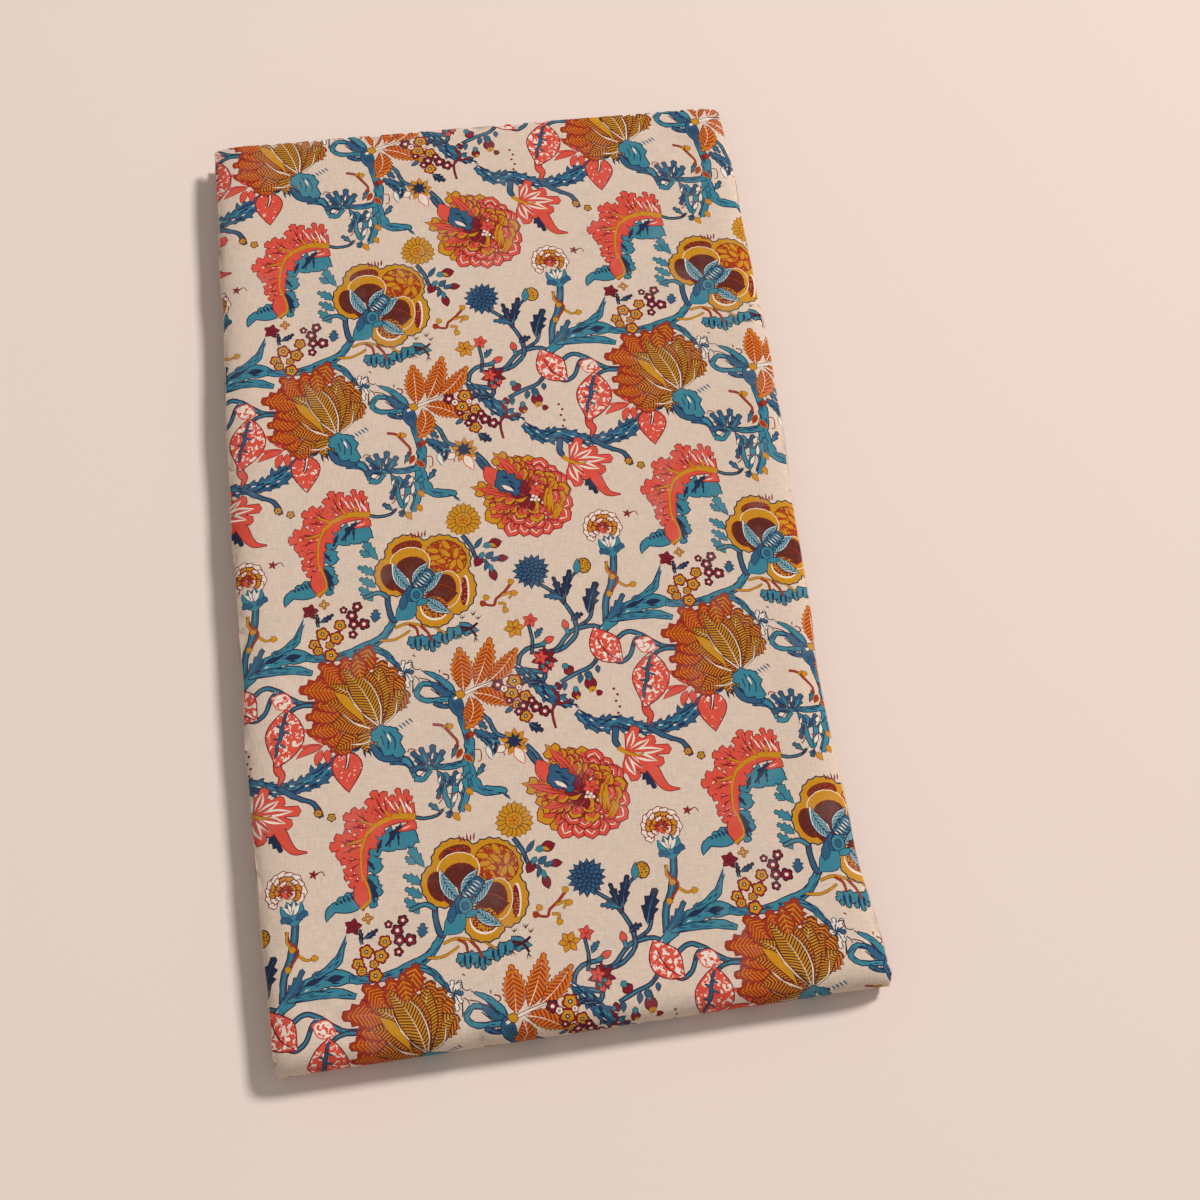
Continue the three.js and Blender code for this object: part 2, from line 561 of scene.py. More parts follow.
                    pen.leaf(foot, foot + lean[i] * 16, 5, Ink.CREAM, edge=0, steps=2)
        pen.stroke([(640, 535), (690, 575), (735, 600), (752, 645)], (14, 10, 12), Ink.STEEL,
                   steps=4, teeth=0.3)
        pen.stroke([(540, 520), (530, 560), (538, 580)], (16, 12), Ink.STEEL)
        for spot in ((745, 632), (782, 652)):
            self.rosette(spot, 13, Ink.OCHRE, Ink.BROWN)

    def teal_branches(self) -> None:
        """Broad plain teal branches and their side limbs."""
        pen = self.pen
        for line, widths in (
            ([(-595, 225), (-560, 185), (-510, 150), (-450, 130), (-400, 128), (-330, 145)],
             (12, 28, 34, 40, 45, 14)),
            ([(-545, 165), (-470, 168), (-400, 172), (-350, 190)], (16, 20, 24, 12)),
            ([(-460, 115), (-420, 100), (-385, 75), (-362, 30)], (20, 16, 22, 4)),
            ([(-360, 140), (-280, 150), (-200, 140), (-140, 120), (-100, 85), (-75, 50)],
             (20, 22, 26, 20, 16)),
            ([(-170, 135), (-130, 155), (-105, 185), (-90, 210)], (20, 16, 10)),
            ([(78, 390), (85, 440), (90, 500), (75, 560), (80, 610), (105, 645), (160, 655),
              (175, 665)], (18, 22, 26, 30, 34, 26, 18, 14)),
            ([(75, 550), (30, 555), (-20, 550), (-45, 545)], (18, 14, 10)),
            ([(80, 590), (45, 620), (50, 655), (30, 690)], (14, 18, 10)),
            ([(-125, 500), (-100, 520), (-85, 550)], (22, 12)),
            ([(-155, 515), (-110, 525), (-85, 555)], (6, 10)),
        ):
            middle = pen.stroke(line, widths, Ink.TEAL, steps=4, teeth=0.26, edge_ink=Ink.NAVY, edge=3.4)
            half = sum(widths) / len(widths) / 2
            pen.streaks(middle, half, Ink.STEEL, len(middle) // 2, 34, 7)
            pen.streaks(middle, half, Ink.NAVY, len(middle) // 2, 24, 4.5, reach=1.0)
            if half > 12:
                pen.streaks(middle, half, Ink.CREAM, len(middle) // 5, 16, 4, reach=0.9)
        pen.leaves((((-425, 130), (-372, 128), 22), ((-490, 135), (-430, 120), 18),
                    ((-310, 142), (-250, 150), 10)), Ink.NAVY, edge=0)

    def small_leaves(self) -> None:
        """Toothed navy and teal leaves along the vines and branches."""
        pen = self.pen
        for base, tip, width, bend, ink in (
            ((447, 75), (432, -5), 20, 0.08, Ink.NAVY),
            ((462, 70), (492, -20), 26, -0.1, Ink.NAVY),
            ((522, 135), (568, 35), 40, -0.1, Ink.NAVY),
            ((465, 150), (505, 135), 20, -0.2, Ink.NAVY),
            ((345, 190), (372, 162), 16, -0.2, Ink.STEEL),
            ((455, 75), (395, 58), 20, 0.2, Ink.STEEL),
            ((575, 170), (640, 85), 28, 0.15, Ink.STEEL),
            ((-100, -150), (-135, -235), 26, -0.1, Ink.TEAL),
            ((-125, -165), (-150, -190), 20, 0.0, Ink.TEAL),
            ((-115, -100), (-165, -135), 24, 0.1, Ink.TEAL),
            ((-120, -60), (-165, -95), 24, 0.1, Ink.TEAL),
            ((-135, -15), (-170, -65), 28, 0.1, Ink.TEAL),
            ((-140, 55), (-130, 15), 26, 0.1, Ink.STEEL),
            ((120, 410), (150, 455), 20, 0.1, Ink.STEEL),
            ((160, 490), (110, 455), 20, 0.1, Ink.STEEL),
            ((280, 460), (318, 490), 26, 0.1, Ink.NAVY),
            ((262, 325), (305, 315), 18, 0.2, Ink.NAVY),
            ((300, 330), (340, 335), 16, 0.0, Ink.NAVY),
            ((240, 400), (215, 415), 12, 0.0, Ink.STEEL),
            ((-305, 30), (-262, 8), 14, 0.1, Ink.NAVY),
            ((-315, 45), (-312, 0), 9, 0.1, Ink.NAVY),
        ):
            pen.leaf(base, tip, width, ink, bend=bend, teeth=4, depth=0.3, edge=2.6, vein=Ink.TEAL,
                     vein_width=3)
        self.fern_leaves()
        self.ragged_leaf()
        pen.stroke([(-100, -100), (-85, -50), (-90, 0), (-85, 50), (-70, 60)],
                   (10, 12, 14), Ink.STEEL, steps=3)
        pen.stroke([(-160, -30), (-115, -40), (-85, -20)], (8, 10), Ink.TEAL)
        self.knotted_stem()

    def fern_leaves(self) -> None:
        """The loose tangle of teal and navy leaves below the leaf spray."""
        pen = self.pen
        pen.strokes(([(-115, 508), (-95, 530), (-88, 572)], [(-88, 575), (-60, 580), (-40, 558)],
                     [(0, 575), (12, 600), (28, 615)], [(30, 618), (20, 650), (2, 685)],
                     [(-8, 585), (-8, 630), (0, 680)], [(60, 600), (58, 650), (35, 700)]),
                    (14, 11), Ink.TEAL, steps=3, teeth=0.4, edge=3, edge_ink=Ink.NAVY)
        leaves = (
            ((-50, 550), (-88, 492), 20), ((-45, 545), (-60, 482), 18),
            ((-35, 545), (-22, 478), 22), ((-30, 550), (8, 500), 20),
            ((-40, 555), (-100, 548), 24), ((-20, 560), (0, 592), 16),
            ((0, 620), (38, 572), 16), ((-30, 688), (-58, 662), 14),
            ((5, 690), (-6, 712), 18), ((95, 600), (122, 565), 14),
            ((-5, 600), (-28, 650), 14), ((30, 530), (52, 490), 13),
        )
        pen.mass([leaf_shape(base, tip, width, bend=0.1, peak=0.5, teeth=3, depth=0.34)[0]
                  for base, tip, width in leaves], Ink.STEEL, edge=3, edge_ink=Ink.PLUM)
        for i, (base, tip, width) in enumerate(leaves):
            start, end = np.array(base), np.array(tip)
            pen.leaf(start + (end - start) * 0.1, start + (end - start) * 0.75, width * 0.36,
                     Ink.TEAL if i % 2 else Ink.NAVY, bend=0.1, edge=0, steps=2)
        pen.leaves((((-82, 562), (-60, 558), 14), ((-30, 525), (-22, 502), 6), ((35, 600), (50, 580), 14),
                    ((40, 640), (48, 605), 12), ((-20, 600), (-10, 580), 8), ((12, 670), (30, 640), 12)),
                   Ink.CREAM, edge=2.4, edge_ink=Ink.PLUM, steps=3)
        for base, tip in (((65, 505), (45, 535)), ((70, 525), (92, 552)), ((60, 632), (75, 655)),
                          ((50, 680), (60, 705)), ((10, 700), (25, 728))):
            pen.leaf(base, tip, 18, Ink.RUST if base[1] < 600 else Ink.OCHRE, edge=2,
                     edge_ink=Ink.OCHRE if base[1] < 600 else Ink.RUST, steps=3)
        pen.strokes(([(-30, 640), (-15, 650), (-30, 665)], [(5, 640), (30, 640)],
                     [(100, 515), (120, 520), (118, 550), (105, 555)], [(140, 510), (148, 540)],
                     [(185, 520), (190, 550)], [(-98, 490), (-90, 480), (-70, 488)]),
                    (3.4, 3), Ink.MAROON, steps=3, edge=0)

    def knotted_stem(self) -> None:
        """A spiky navy head, and the stem that loops below it."""
        pen = self.pen
        for i, tip in enumerate(((-92, 200), (-70, 195), (-46, 200), (-44, 236), (-50, 264),
                                 (-66, 284), (-88, 268), (-96, 238))):
            start, end = np.array((-72, 235)), np.array(tip)
            pen.leaf(start, end, 16, Ink.STEEL if i % 3 == 0 else Ink.CREAM, teeth=3, edge=3,
                     edge_ink=Ink.NAVY)
            pen.leaf(start, start + (end - start) * 0.6, 6, Ink.NAVY, edge=0, steps=2)
        pen.leaf((-66, 210), (-58, 225), 7, Ink.CREAM, edge=0, steps=3)
        pen.strokes(([(-60, 205), (-45, 205), (-42, 225), (-30, 232), (-20, 230)],
                     [(-50, 262), (-52, 285), (-56, 305)], [(-45, 250), (-35, 258), (-30, 272)],
                     [(-20, 235), (10, 262), (30, 290), (55, 325)],
                     [(0, 300), (30, 335), (55, 385), (70, 405)], [(-30, 260), (0, 272), (20, 300)]),
                    (3.6, 3), Ink.PLUM, steps=3, edge=0)
        pen.strokes(([(36, 243), (35, 253)], [(44, 258), (58, 264), (60, 276), (50, 280)],
                     [(-38, 182), (-30, 188)]), (5, 3.6), Ink.MAROON, steps=3, edge=0)
        for line, widths, ink in (
            ([(-10, 242), (20, 262), (52, 296), (70, 330)], (4, 14, 18, 10), Ink.TEAL),
            ([(-20, 282), (8, 288), (36, 315), (70, 345)], (8, 14, 22, 20), Ink.STEEL),
            ([(5, 285), (-22, 280), (-44, 306), (-25, 333), (20, 340), (80, 344)],
             (8, 13, 14, 12, 12), Ink.TEAL),
            ([(5, 348), (25, 360), (48, 366)], (12, 10), Ink.STEEL),
        ):
            middle = pen.stroke(line, widths, ink, steps=4, teeth=0.2, edge=3.4, edge_ink=Ink.NAVY)
            pen.streaks(middle, max(widths) / 2, Ink.NAVY, len(middle) // 3, 22, 3.6)
        pen.leaf((62, 328), (78, 412), 42, Ink.STEEL, peak=0.42, edge=3.4, edge_ink=Ink.NAVY)
        for i in range(4):
            pen.leaf((55 + 8 * i, 350), (68 + 6 * i, 392), 4, Ink.NAVY, edge=0, steps=3)

    def ragged_leaf(self) -> None:
        """The curled, jagged leaf that hangs below the trumpet flower."""
        pen = self.pen
        tufts = []
        for x, y, reach in ((-18, 140, 30), (24, 150, 32), (68, 138, 26), (100, 128, 24),
                            (135, 125, 22)):
            for i in range(8):
                turn = math.radians(215 - 43 * i)
                drop = max(math.sin(turn), 0.5 * math.sin(turn)) * reach
                tip = (x + reach * math.cos(turn), y - 4 + drop + 3 * (i % 2))
                tufts.append(leaf_shape((x, y - 8), tip, 12, peak=0.5, teeth=2)[0])
        tufts += [leaf_shape((122, 100), (175, 135), 30, bend=0.25)[0],
                  leaf_shape((-35, 132), (130, 125), 14, bend=0.1)[0]]
        pen.mass(tufts, Ink.TEAL, edge=3.6, edge_ink=Ink.PLUM)
        for x, y in ((-22, 138), (-5, 140), (20, 148), (36, 150), (62, 136), (78, 134),
                     (100, 128), (128, 122)):
            pen.leaf((x, y - 12), (x - 4, y + 16), 9, Ink.NAVY, teeth=2, edge=0)
        for x, y, reach in ((115, 140, 20), (160, 155, 22), (130, 90, 18), (165, 85, 24),
                            (178, 100, 20)):
            for way in (-1, 0, 1):
                pen.leaf((x, y), (x + 10 * way + 4, y + reach * (1 if y > 120 else -0.8)), 3.6, Ink.PLUM,
                         edge=0, steps=3)

    def curly_sprigs(self) -> None:
        """Fine ochre and maroon tendrils that end in small blobs."""
        pen = self.pen
        for line, ink in (
            ([(300, -5), (275, 20), (245, 40), (235, 60), (200, 50)], Ink.RUST),
            ([(265, 30), (300, 25), (285, 45)], Ink.OCHRE),
            ([(250, 55), (270, 60), (265, 75)], Ink.OCHRE),
            ([(-10, 415), (20, 425), (40, 455), (55, 480), (50, 500)], Ink.RUST),
            ([(20, 430), (35, 420)], Ink.OCHRE),
            ([(608, -30), (612, 0), (635, 30), (620, 60), (600, 75)], Ink.RUST),
            ([(635, 45), (655, 62), (675, 60)], Ink.OCHRE),
            ([(-520, -30), (-525, 0), (-512, 20)], Ink.OCHRE),
            ([(370, 360), (385, 400), (360, 425), (355, 455), (358, 490)], Ink.MAROON),
            ([(375, 410), (400, 415), (420, 405)], Ink.MAROON),
            ([(-130, 118), (-90, 123), (-55, 112), (-35, 100)], Ink.OCHRE),
            ([(-80, 85), (-40, 76), (0, 88), (40, 102), (72, 128)], Ink.OCHRE),
            ([(-35, 80), (-15, 96), (-12, 122)], Ink.RUST),
            ([(0, 90), (18, 115), (28, 146)], Ink.RUST),
            ([(120, 115), (150, 125), (165, 155)], Ink.PLUM),
            ([(130, 130), (160, 120), (175, 110)], Ink.PLUM),
        ):
            pen.stroke(line, (7, 5), ink, steps=3, edge=1.6, edge_ink=Ink.BROWN)
        for spot, ink in (((300, -10), Ink.OCHRE), ((215, 30), Ink.OCHRE), ((305, 30), Ink.OCHRE),
                          ((268, 82), Ink.OCHRE), ((202, 48), Ink.RUST), ((40, 430), Ink.OCHRE),
                          ((680, 60), Ink.OCHRE),
                          ((600, 80), Ink.OCHRE), ((-512, 25), Ink.OCHRE), ((510, 400), Ink.MAROON),
                          ((90, 470), Ink.MAROON), ((100, 465), Ink.RUST)):
            pen.disc(spot, 9, ink, lobes=3, depth=0.2, steps=9, edge=1.4, edge_ink=Ink.BROWN)
        pen.petals((-425, -185), 0, 16, 5, 8, Ink.MAROON, edge=0, steps=3)
        pen.stroke([(-420, -185), (-400, -190), (-392, -175)], (3, 3), Ink.MAROON, edge=0)
        for i in range(5):
            pen.disc((-575 + 8 * (i % 2), 395 + 20 * i), 5, Ink.MAROON, steps=5, edge=0)

    def marbled_leaves(self) -> None:
        """Coral leaves with cream marbling and a teal vein."""
        pen = self.pen
        coral = dict(figure=Figure.MARBLE, line_ink=Ink.CREAM, edge_ink=Ink.MAROON)
        pen.stroke([(-485, 440), (-488, 480), (-478, 500), (-490, 525)], (18, 22, 4),
                   Ink.CORAL, edge_ink=Ink.MAROON)
        pen.leaf((-440, 295), (-490, 470), 112, Ink.CORAL, bend=-0.1, peak=0.46, steps=9, share=0.34, **coral)
        pen.stroke([(-440, 305), (-455, 335), (-463, 370), (-480, 405), (-488, 440)],
                   (4, 9, 6, 3), Ink.STEEL, steps=4, teeth=0.7, edge=2.6)
        pen.leaves((((-458, 350), (-478, 340)), ((-460, 360), (-438, 372)), ((-468, 385), (-490, 380)),
                    ((-455, 335), (-436, 342)), ((-472, 400), (-455, 415))),
                   5, Ink.STEEL, edge=1.8, steps=3)
        pen.leaf((532, 185), (600, 310), 92, Ink.CORAL, bend=0.16, peak=0.5, steps=9, share=0.4, **coral)
        pen.stroke([(535, 215), (545, 250), (562, 280), (592, 305)], (2, 5, 4),
                   Ink.MAROON, steps=4, teeth=0.5, edge=0)
        pen.leaf((-420, 285), (-480, 250), 50, Ink.CREAM, peak=0.5, steps=6, figure=Figure.MARBLE,
                 line_ink=Ink.CORAL, share=0.4, edge_ink=Ink.CORAL)
        pen.leaf((-275, 455), (-288, 582), 88, Ink.CORAL, bend=0.06, peak=0.36, steps=8, share=0.16,
                 **coral)
        pen.stroke([(-274, 460), (-279, 490), (-288, 510)], (5, 2), Ink.CREAM)
        for base, tip, bend in (((-345, 420), (-400, 365), 0.2), ((-345, 425), (-415, 415), -0.2),
                                ((-350, 430), (-430, 455), 0.2), ((-350, 440), (-375, 485), 0.1),
                                ((-335, 440), (-338, 485), 0.0)):
            pen.leaf(base, tip, 22, Ink.CORAL, bend=bend, edge=2, edge_ink=Ink.MAROON)

    def acanthus_leaf(self) -> None:
        """A large curling leaf, coral outside and teal inside its ochre vein."""
        pen = self.pen
        pen.mass([leaf_shape(base, tip, width, peak=0.6, teeth=4, depth=0.16)[0] for base, tip, width in (
            ((-115, -285), (-142, -222), 55), ((-150, -295), (-168, -218), 70),
            ((-180, -295), (-200, -218), 62), ((-205, -285), (-242, -212), 45),
            ((-275, -225), (-232, -162), 50), ((-275, -200), (-238, -195), 40),
            ((-272, -150), (-240, -90), 36), ((-272, -120), (-262, -58), 30),
            ((-272, -160), (-245, -125), 32),
        )], Ink.TEAL, edge_ink=Ink.NAVY)
        pen.leaves((((-120, -288), (-190, -268), 20), ((-150, -290), (-205, -232), 14),
                    ((-160, -285), (-165, -228), 8), ((-185, -270), (-192, -228), 8),
                    ((-210, -260), (-232, -218), 12), ((-265, -205), (-245, -168), 12),
                    ((-268, -150), (-250, -85), 22), ((-265, -110), (-258, -70), 12)),
                   Ink.NAVY, teeth=3, edge=0)
        feather = [leaf_shape((-300 - 11.8 * i, -72), (-311 - 11.8 * i, -117 + 0.8 * i * i + 6 * (i % 2)),
                              16.5, peak=0.5, teeth=2)[0] for i in range(8)]
        feather += [leaf_shape((-295, -70), (-398, -72), 30, peak=0.4)[0],
                    leaf_shape((-372, -82), (-404, -40), 24, bend=0.2, peak=0.36)[0]]
        pen.mass(feather, Ink.TEAL, edge_ink=Ink.NAVY)
        for i in range(6):
            pen.leaf((-304 - 11.8 * i, -84), (-313 - 11.8 * i, -110 + 0.9 * i * i), 8, Ink.NAVY,
                     edge=0, teeth=3)
        lobes = []
        for base, tip, width, fingers in (
            ((-125, -305), (-146, -404), 27, 3), ((-185, -302), (-218, -408), 42, 3),
            ((-222, -293), (-314, -346), 45, 3), ((-252, -252), (-366, -257), 52, 3),
            ((-270, -205), (-348, -190), 36, 2), ((-280, -165), (-338, -140), 30, 2),
        ):
            reach = np.array(tip) - np.array(base)
            side = np.array([-reach[1], reach[0]])
            for finger in np.linspace(-1, 1, fingers):
                short = 1 - 0.14 * abs(finger)
                end = np.array(base) + (reach + side * finger * 0.27) * short
                lobes.append((np.array(base) - reach * 0.1, end, width, 5))
        ribs = len(lobes)
        lobes += [
            ((-108, -302), (-114, -350), 16, 2), ((-288, -160), (-294, -54), 46, 0),
            ((-235, -285), (-242, -232), 26, 3), ((-270, -235), (-262, -205), 18, 2),
            ((-200, -300), (-222, -268), 24, 3), ((-160, -272), (-106, -288), 28, 2),
        ]
        coral = [leaf_shape(base, tip, width, pen.chance.uniform(-0.06, 0.06), 0.54, teeth, 0.36)[0]
                 for base, tip, width, teeth in lobes]
        body = smooth_curve([(-108, -305), (-170, -312), (-232, -294), (-272, -240), (-286, -170),
                             (-290, -100), (-292, -65)], 4)
        width = np.interp(np.linspace(0, 1, len(body)), (0, 0.3, 0.6, 1), (18, 36, 38, 20))[:, None]
        side = sideways(body)
        coral.append(np.vstack([body + side * width / 2, (body - side * width / 2)[::-1]]))
        pen.mass(coral, Ink.CORAL, edge=3.2, edge_ink=Ink.MAROON)
        for base, tip, width, _ in lobes[:ribs]:
            start, end = np.array(base), np.array(tip)
            across = sideways(np.array([start, end]))[0] * width
            pen.leaf(start + (end - start) * 0.3, start + (end - start) * pen.chance.uniform(0.7, 0.92), 4.8,
                     Ink.MAROON, bend=pen.chance.uniform(-0.1, 0.1), edge=0, steps=3)
            for _ in range(2):
                foot = start + (end - start) * pen.chance.uniform(0.35, 0.6)
                foot = foot + across * pen.chance.uniform(-0.1, 0.1)
                side_tip = foot + (end - start) * 0.22 + across * pen.chance.choice((-0.3, 0.3))
                pen.leaf(foot, side_tip, 3.6, Ink.MAROON, edge=0, steps=2)
                fleck = start + (end - start) * pen.chance.uniform(0.2, 0.75)
                fleck = fleck + across * pen.chance.uniform(-0.4, 0.4)
                pen.leaf(fleck, fleck + (end - start) * pen.chance.uniform(0.05, 0.12), 4.5, Ink.CREAM,
                         edge=0, steps=2)
        pen.leaves((((-118, -325), (-128, -362)), ((-130, -325), (-142, -378)),
                    ((-145, -330), (-160, -370)), ((-160, -335), (-182, -378)),
                    ((-112, -315), (-118, -345)), ((-150, -276), (-118, -284))),
                   5.2, Ink.CREAM, edge=0, steps=3)
        vein = [(-104, -308), (-165, -318), (-220, -304), (-258, -272), (-279, -220),
                (-284, -165), (-271, -120), (-272, -80), (-302, -60)]
        pen.stroke(vein, (20, 13, 7, 5, 6, 9), Ink.OCHRE, steps=4, edge=1.6, edge_ink=Ink.RUST)
        pen.leaves((((-150, -318), (-142, -350)), ((-175, -316), (-195, -350)),
                    ((-225, -300), (-275, -328)), ((-262, -266), (-320, -256))),
                   7.5, Ink.OCHRE, edge=1.4, edge_ink=Ink.RUST, steps=3)

    def star_leaf(self) -> None:
        """A pointed coral leaf, cream within, with a curled tail."""
        pen = self.pen
        base = (555, -398)
        pen.leaf((600, -360), (625, -270), 32, Ink.NAVY, bend=0.1, teeth=5, edge=2)
        tips = (((598, -475), 40, 0.1), ((650, -432), 42, 0.1), ((695, -385), 42, 0),
                ((665, -345), 42, 0), ((575, -305), 46, 0.1), ((605, -325), 30, 0))
        outlines = [leaf_shape(base, tip, width, bend=bend, peak=0.5, teeth=3, depth=0.2)[0]
                    for tip, width, bend in tips]
        tail = smooth_curve([(585, -385), (625, -335), (645, -285), (665, -262), (698, -255)], 4)
        width = np.interp(np.linspace(0, 1, len(tail)), (0, 0.3, 0.7, 1), (20, 34, 18, 1))[:, None]
        side = sideways(tail)
        outlines.append(np.vstack([tail + side * width / 2, (tail - side * width / 2)[::-1]]))
        pen.mass(outlines, Ink.CORAL, edge=2.8, edge_ink=Ink.MAROON)
        for tip, width, bend in tips:
            start, end = np.array(base), np.array(tip)
            pen.leaf(start + (end - start) * 0.1, start + (end - start) * 0.84, width * 0.56, Ink.CREAM,
                     bend=bend, peak=0.5, edge=0)
            pen.leaf(start, start + (end - start) * 0.8, width * 0.2, Ink.CORAL, bend=bend, edge=1.2,
                     edge_ink=Ink.MAROON, steps=3)
        pen.stroke([(536, -415), (555, -398), (585, -382), (610, -385)], (14, 8, 2), Ink.OCHRE,
                   edge=1.8, edge_ink=Ink.RUST)

    def leaf_spray(self) -> None:
        """Five amber leaves with rust side veins and a cream midrib."""
        pen = self.pen
        for base, tip, width, bend in (
            ((98, 325), (105, 182), 62, 0.04), ((135, 315), (205, 165), 56, 0.08),
            ((170, 310), (280, 212), 50, 0.14), ((125, 335), (238, 395), 52, -0.16),
            ((115, 345), (85, 445), 58, -0.34),
        ):
            pen.edged_leaf(base, tip, width, Ink.AMBER, Ink.RUST, bend=bend, peak=0.46, teeth=9,
                           lines=Ink.AMBER, share=0.42, inside=0.88, spacing=13.5, edge_ink=Ink.MAROON)
        pen.stroke([(65, 345), (100, 332), (150, 318), (200, 308)], (10, 7, 3), Ink.CREAM,
                   edge=1.8, edge_ink=Ink.BROWN)
        pen.leaf((100, 340), (72, 325), 26, Ink.OCHRE, edge_ink=Ink.BROWN, edge=2)

    def seed_pod(self) -> None:
        """A large ribbed pod with hatched ribs, ringed by rust leaf tips, in a teal cup."""
        pen = self.pen
        for base, tip, width, bend in (
            ((-250, 440), (-325, 442), 50, 0.0), ((-270, 410), (-345, 415), 50, 0.0),
            ((-280, 380), (-385, 382), 62, 0.1), ((-270, 330), (-385, 330), 60, 0.0),
            ((-250, 310), (-360, 295), 50, 0.0), ((-255, 275), (-395, 242), 80, 0.12),
            ((-250, 270), (-325, 165), 75, 0.1), ((-220, 260), (-250, 155), 70, 0.0),
        ):
            pen.edged_leaf(base, tip, width, Ink.RUST, Ink.RUST, bend=bend, teeth=6, lines=Ink.AMBER,
                           vein=Ink.AMBER, spacing=11.5, share=0.36, inside=0.84, edge_ink=Ink.MAROON)
        hatch = dict(figure=Figure.STRIPES, line_ink=Ink.BROWN, share=0.46, spacing=10.6, edge=3,
                     edge_ink=Ink.BROWN)
        pen.leaves((((-160, 300), (-130, 185), 60), ((-150, 310), (-98, 212), 55),
                    ((-150, 330), (-78, 250), 55), ((-150, 350), (-68, 300), 60)),
                   Ink.AMBER, teeth=6, depth=0.16, peak=0.55, slant=-0.7, **hatch)
        foot = (-170, 398)
        for tip, width, bend, midrib in (
            ((-75, 295), 75, -0.32, True), ((-310, 447), 60, 0.1, False), ((-215, 470), 70, 0.34, True),
            ((-105, 235), 70, -0.22, False), ((-315, 370), 75, 0.2, False),
            ((-140, 200), 75, -0.1, True), ((-320, 290), 70, 0.22, False), ((-200, 185), 70, 0.02, False),
            ((-300, 235), 60, 0.2, True), ((-255, 190), 75, 0.14, True),
        ):
            pen.leaf(foot, tip, width, Ink.OCHRE if midrib else Ink.AMBER, bend=bend, peak=0.52, steps=7,
                     slant=0.7, vein=Ink.CREAM if midrib else Ink.BROWN, vein_width=3, **hatch)
        for base, tip, width in (((-200, 215), (-165, 130), 70), ((-205, 235), (-210, 150), 50)):
            pen.edged_leaf(base, tip, width, Ink.RUST, Ink.RUST, teeth=6, lines=Ink.OCHRE, vein=Ink.OCHRE,
                           spacing=15, edge_ink=Ink.MAROON)
        pen.leaf((-208, 390), (-292, 262), 34, Ink.OCHRE, bend=0.14, peak=0.6, edge=2.6, edge_ink=Ink.BROWN)
        pen.strokes(([(-172, 392), (-205, 355), (-235, 310), (-252, 262)],
                     [(-166, 388), (-158, 330), (-172, 270), (-198, 232)],
                     [(-155, 388), (-118, 360), (-106, 320)], [(-200, 395), (-245, 370), (-275, 335)],
                     [(-195, 432), (-225, 440), (-262, 436)]),
                    (4.5, 3.2, 1.6), Ink.CREAM, steps=4, edge=1.8, edge_ink=Ink.BROWN)
        for i in range(7):
            foot = np.array([-228 + 14 * i, 455 - 2 * i])
            pen.leaf(foot, foot + np.array([4 + 3 * i, 34]), 7.5, Ink.NAVY, edge=0, steps=3)
        for i in range(5):
            foot = np.array([-125 + 11 * i, 402 - 5 * i])
            pen.leaf(foot, foot + np.array([14, 18]), 6, Ink.STEEL, edge=0, steps=3)
        pen.stroke([(-200, 448), (-190, 475), (-165, 497), (-125, 505)], (10, 22, 16), Ink.STEEL,
                   steps=4, edge_ink=Ink.NAVY)
        pen.mass([leaf_shape((-168, 388), tip, width, teeth=3, depth=0.14, peak=0.55)[0] for tip, width in (
            ((-118, 500), 45), ((-115, 450), 40), ((-190, 440), 35), ((-150, 490), 50))], Ink.TEAL,
            edge_ink=Ink.NAVY)
        pen.strokes(([(-160, 410), (-150, 440), (-155, 470)], [(-145, 415), (-130, 445), (-135, 475)],
                     [(-170, 425), (-165, 455)]), (4, 3), Ink.NAVY, edge=0)
        pen.leaf((-152, 420), (-142, 450), 8, Ink.CREAM, edge=0, steps=3)

    def blossom_clusters(self) -> None:
        """Clusters of small gold and maroon blossoms."""
        pen = self.pen
        for x, y, radius in ((-330, 100, 19), (-302, 68, 21), (-285, 142, 22), (-262, 88, 22),
                             (-245, 48, 19), (-285, 108, 14), (-322, 122, 16)):
            self.rosette((x, y), radius, Ink.OCHRE)
        for x, y, radius in ((-205, 22, 18), (-185, -5, 16), (-210, 85, 14),
                             (-172, 56, 19), (-203, 52, 17), (-228, 0, 12)):
            self.rosette((x, y), radius, Ink.MAROON, Ink.PLUM, Ink.CREAM)
        pen.petals((-330, -12), 0, 26, 5, 18, Ink.MAROON, edge=2, steps=3)
        pen.petals((-285, -28), 4, 16, 4, 10, Ink.OCHRE, edge=2, edge_ink=Ink.MAROON, steps=3)
        pen.stroke([(-325, 0), (-312, 20), (-308, 45)], (4, 4), Ink.PLUM, edge=0)
        for x, y, radius, ink in (
            (205, 322, 19, Ink.CORAL), (258, 318, 24, Ink.OCHRE), (243, 357, 24, Ink.OCHRE),
            (284, 372, 20, Ink.OCHRE), (252, 395, 16, Ink.OCHRE), (272, 402, 17, Ink.CORAL),
            (310, 412, 19, Ink.CORAL), (274, 436, 21, Ink.OCHRE), (334, 430, 18, Ink.CORAL),
            (222, 338, 13, Ink.CREAM), (268, 340, 11, Ink.CREAM), (300, 390, 14, Ink.CORAL),
            (255, 418, 14, Ink.CORAL), (232, 378, 12, Ink.CORAL),
        ):
            if ink is Ink.CORAL:
                self.rosette((x, y), radius, Ink.MAROON, Ink.PLUM, Ink.CREAM)
            else:
                self.rosette((x, y), radius, ink)
        pen.petals((285, 145), 2, 32, 6, 19, Ink.OCHRE, edge=2.2, edge_ink=Ink.MAROON, steps=3)
        pen.petals((338, 128), 0, 24, 5, 14, Ink.CORAL, edge=2, edge_ink=Ink.MAROON, steps=3)
        pen.petals((362, 262), 0, 42, 7, 20, Ink.MAROON, first=20, edge=2.2, steps=3)
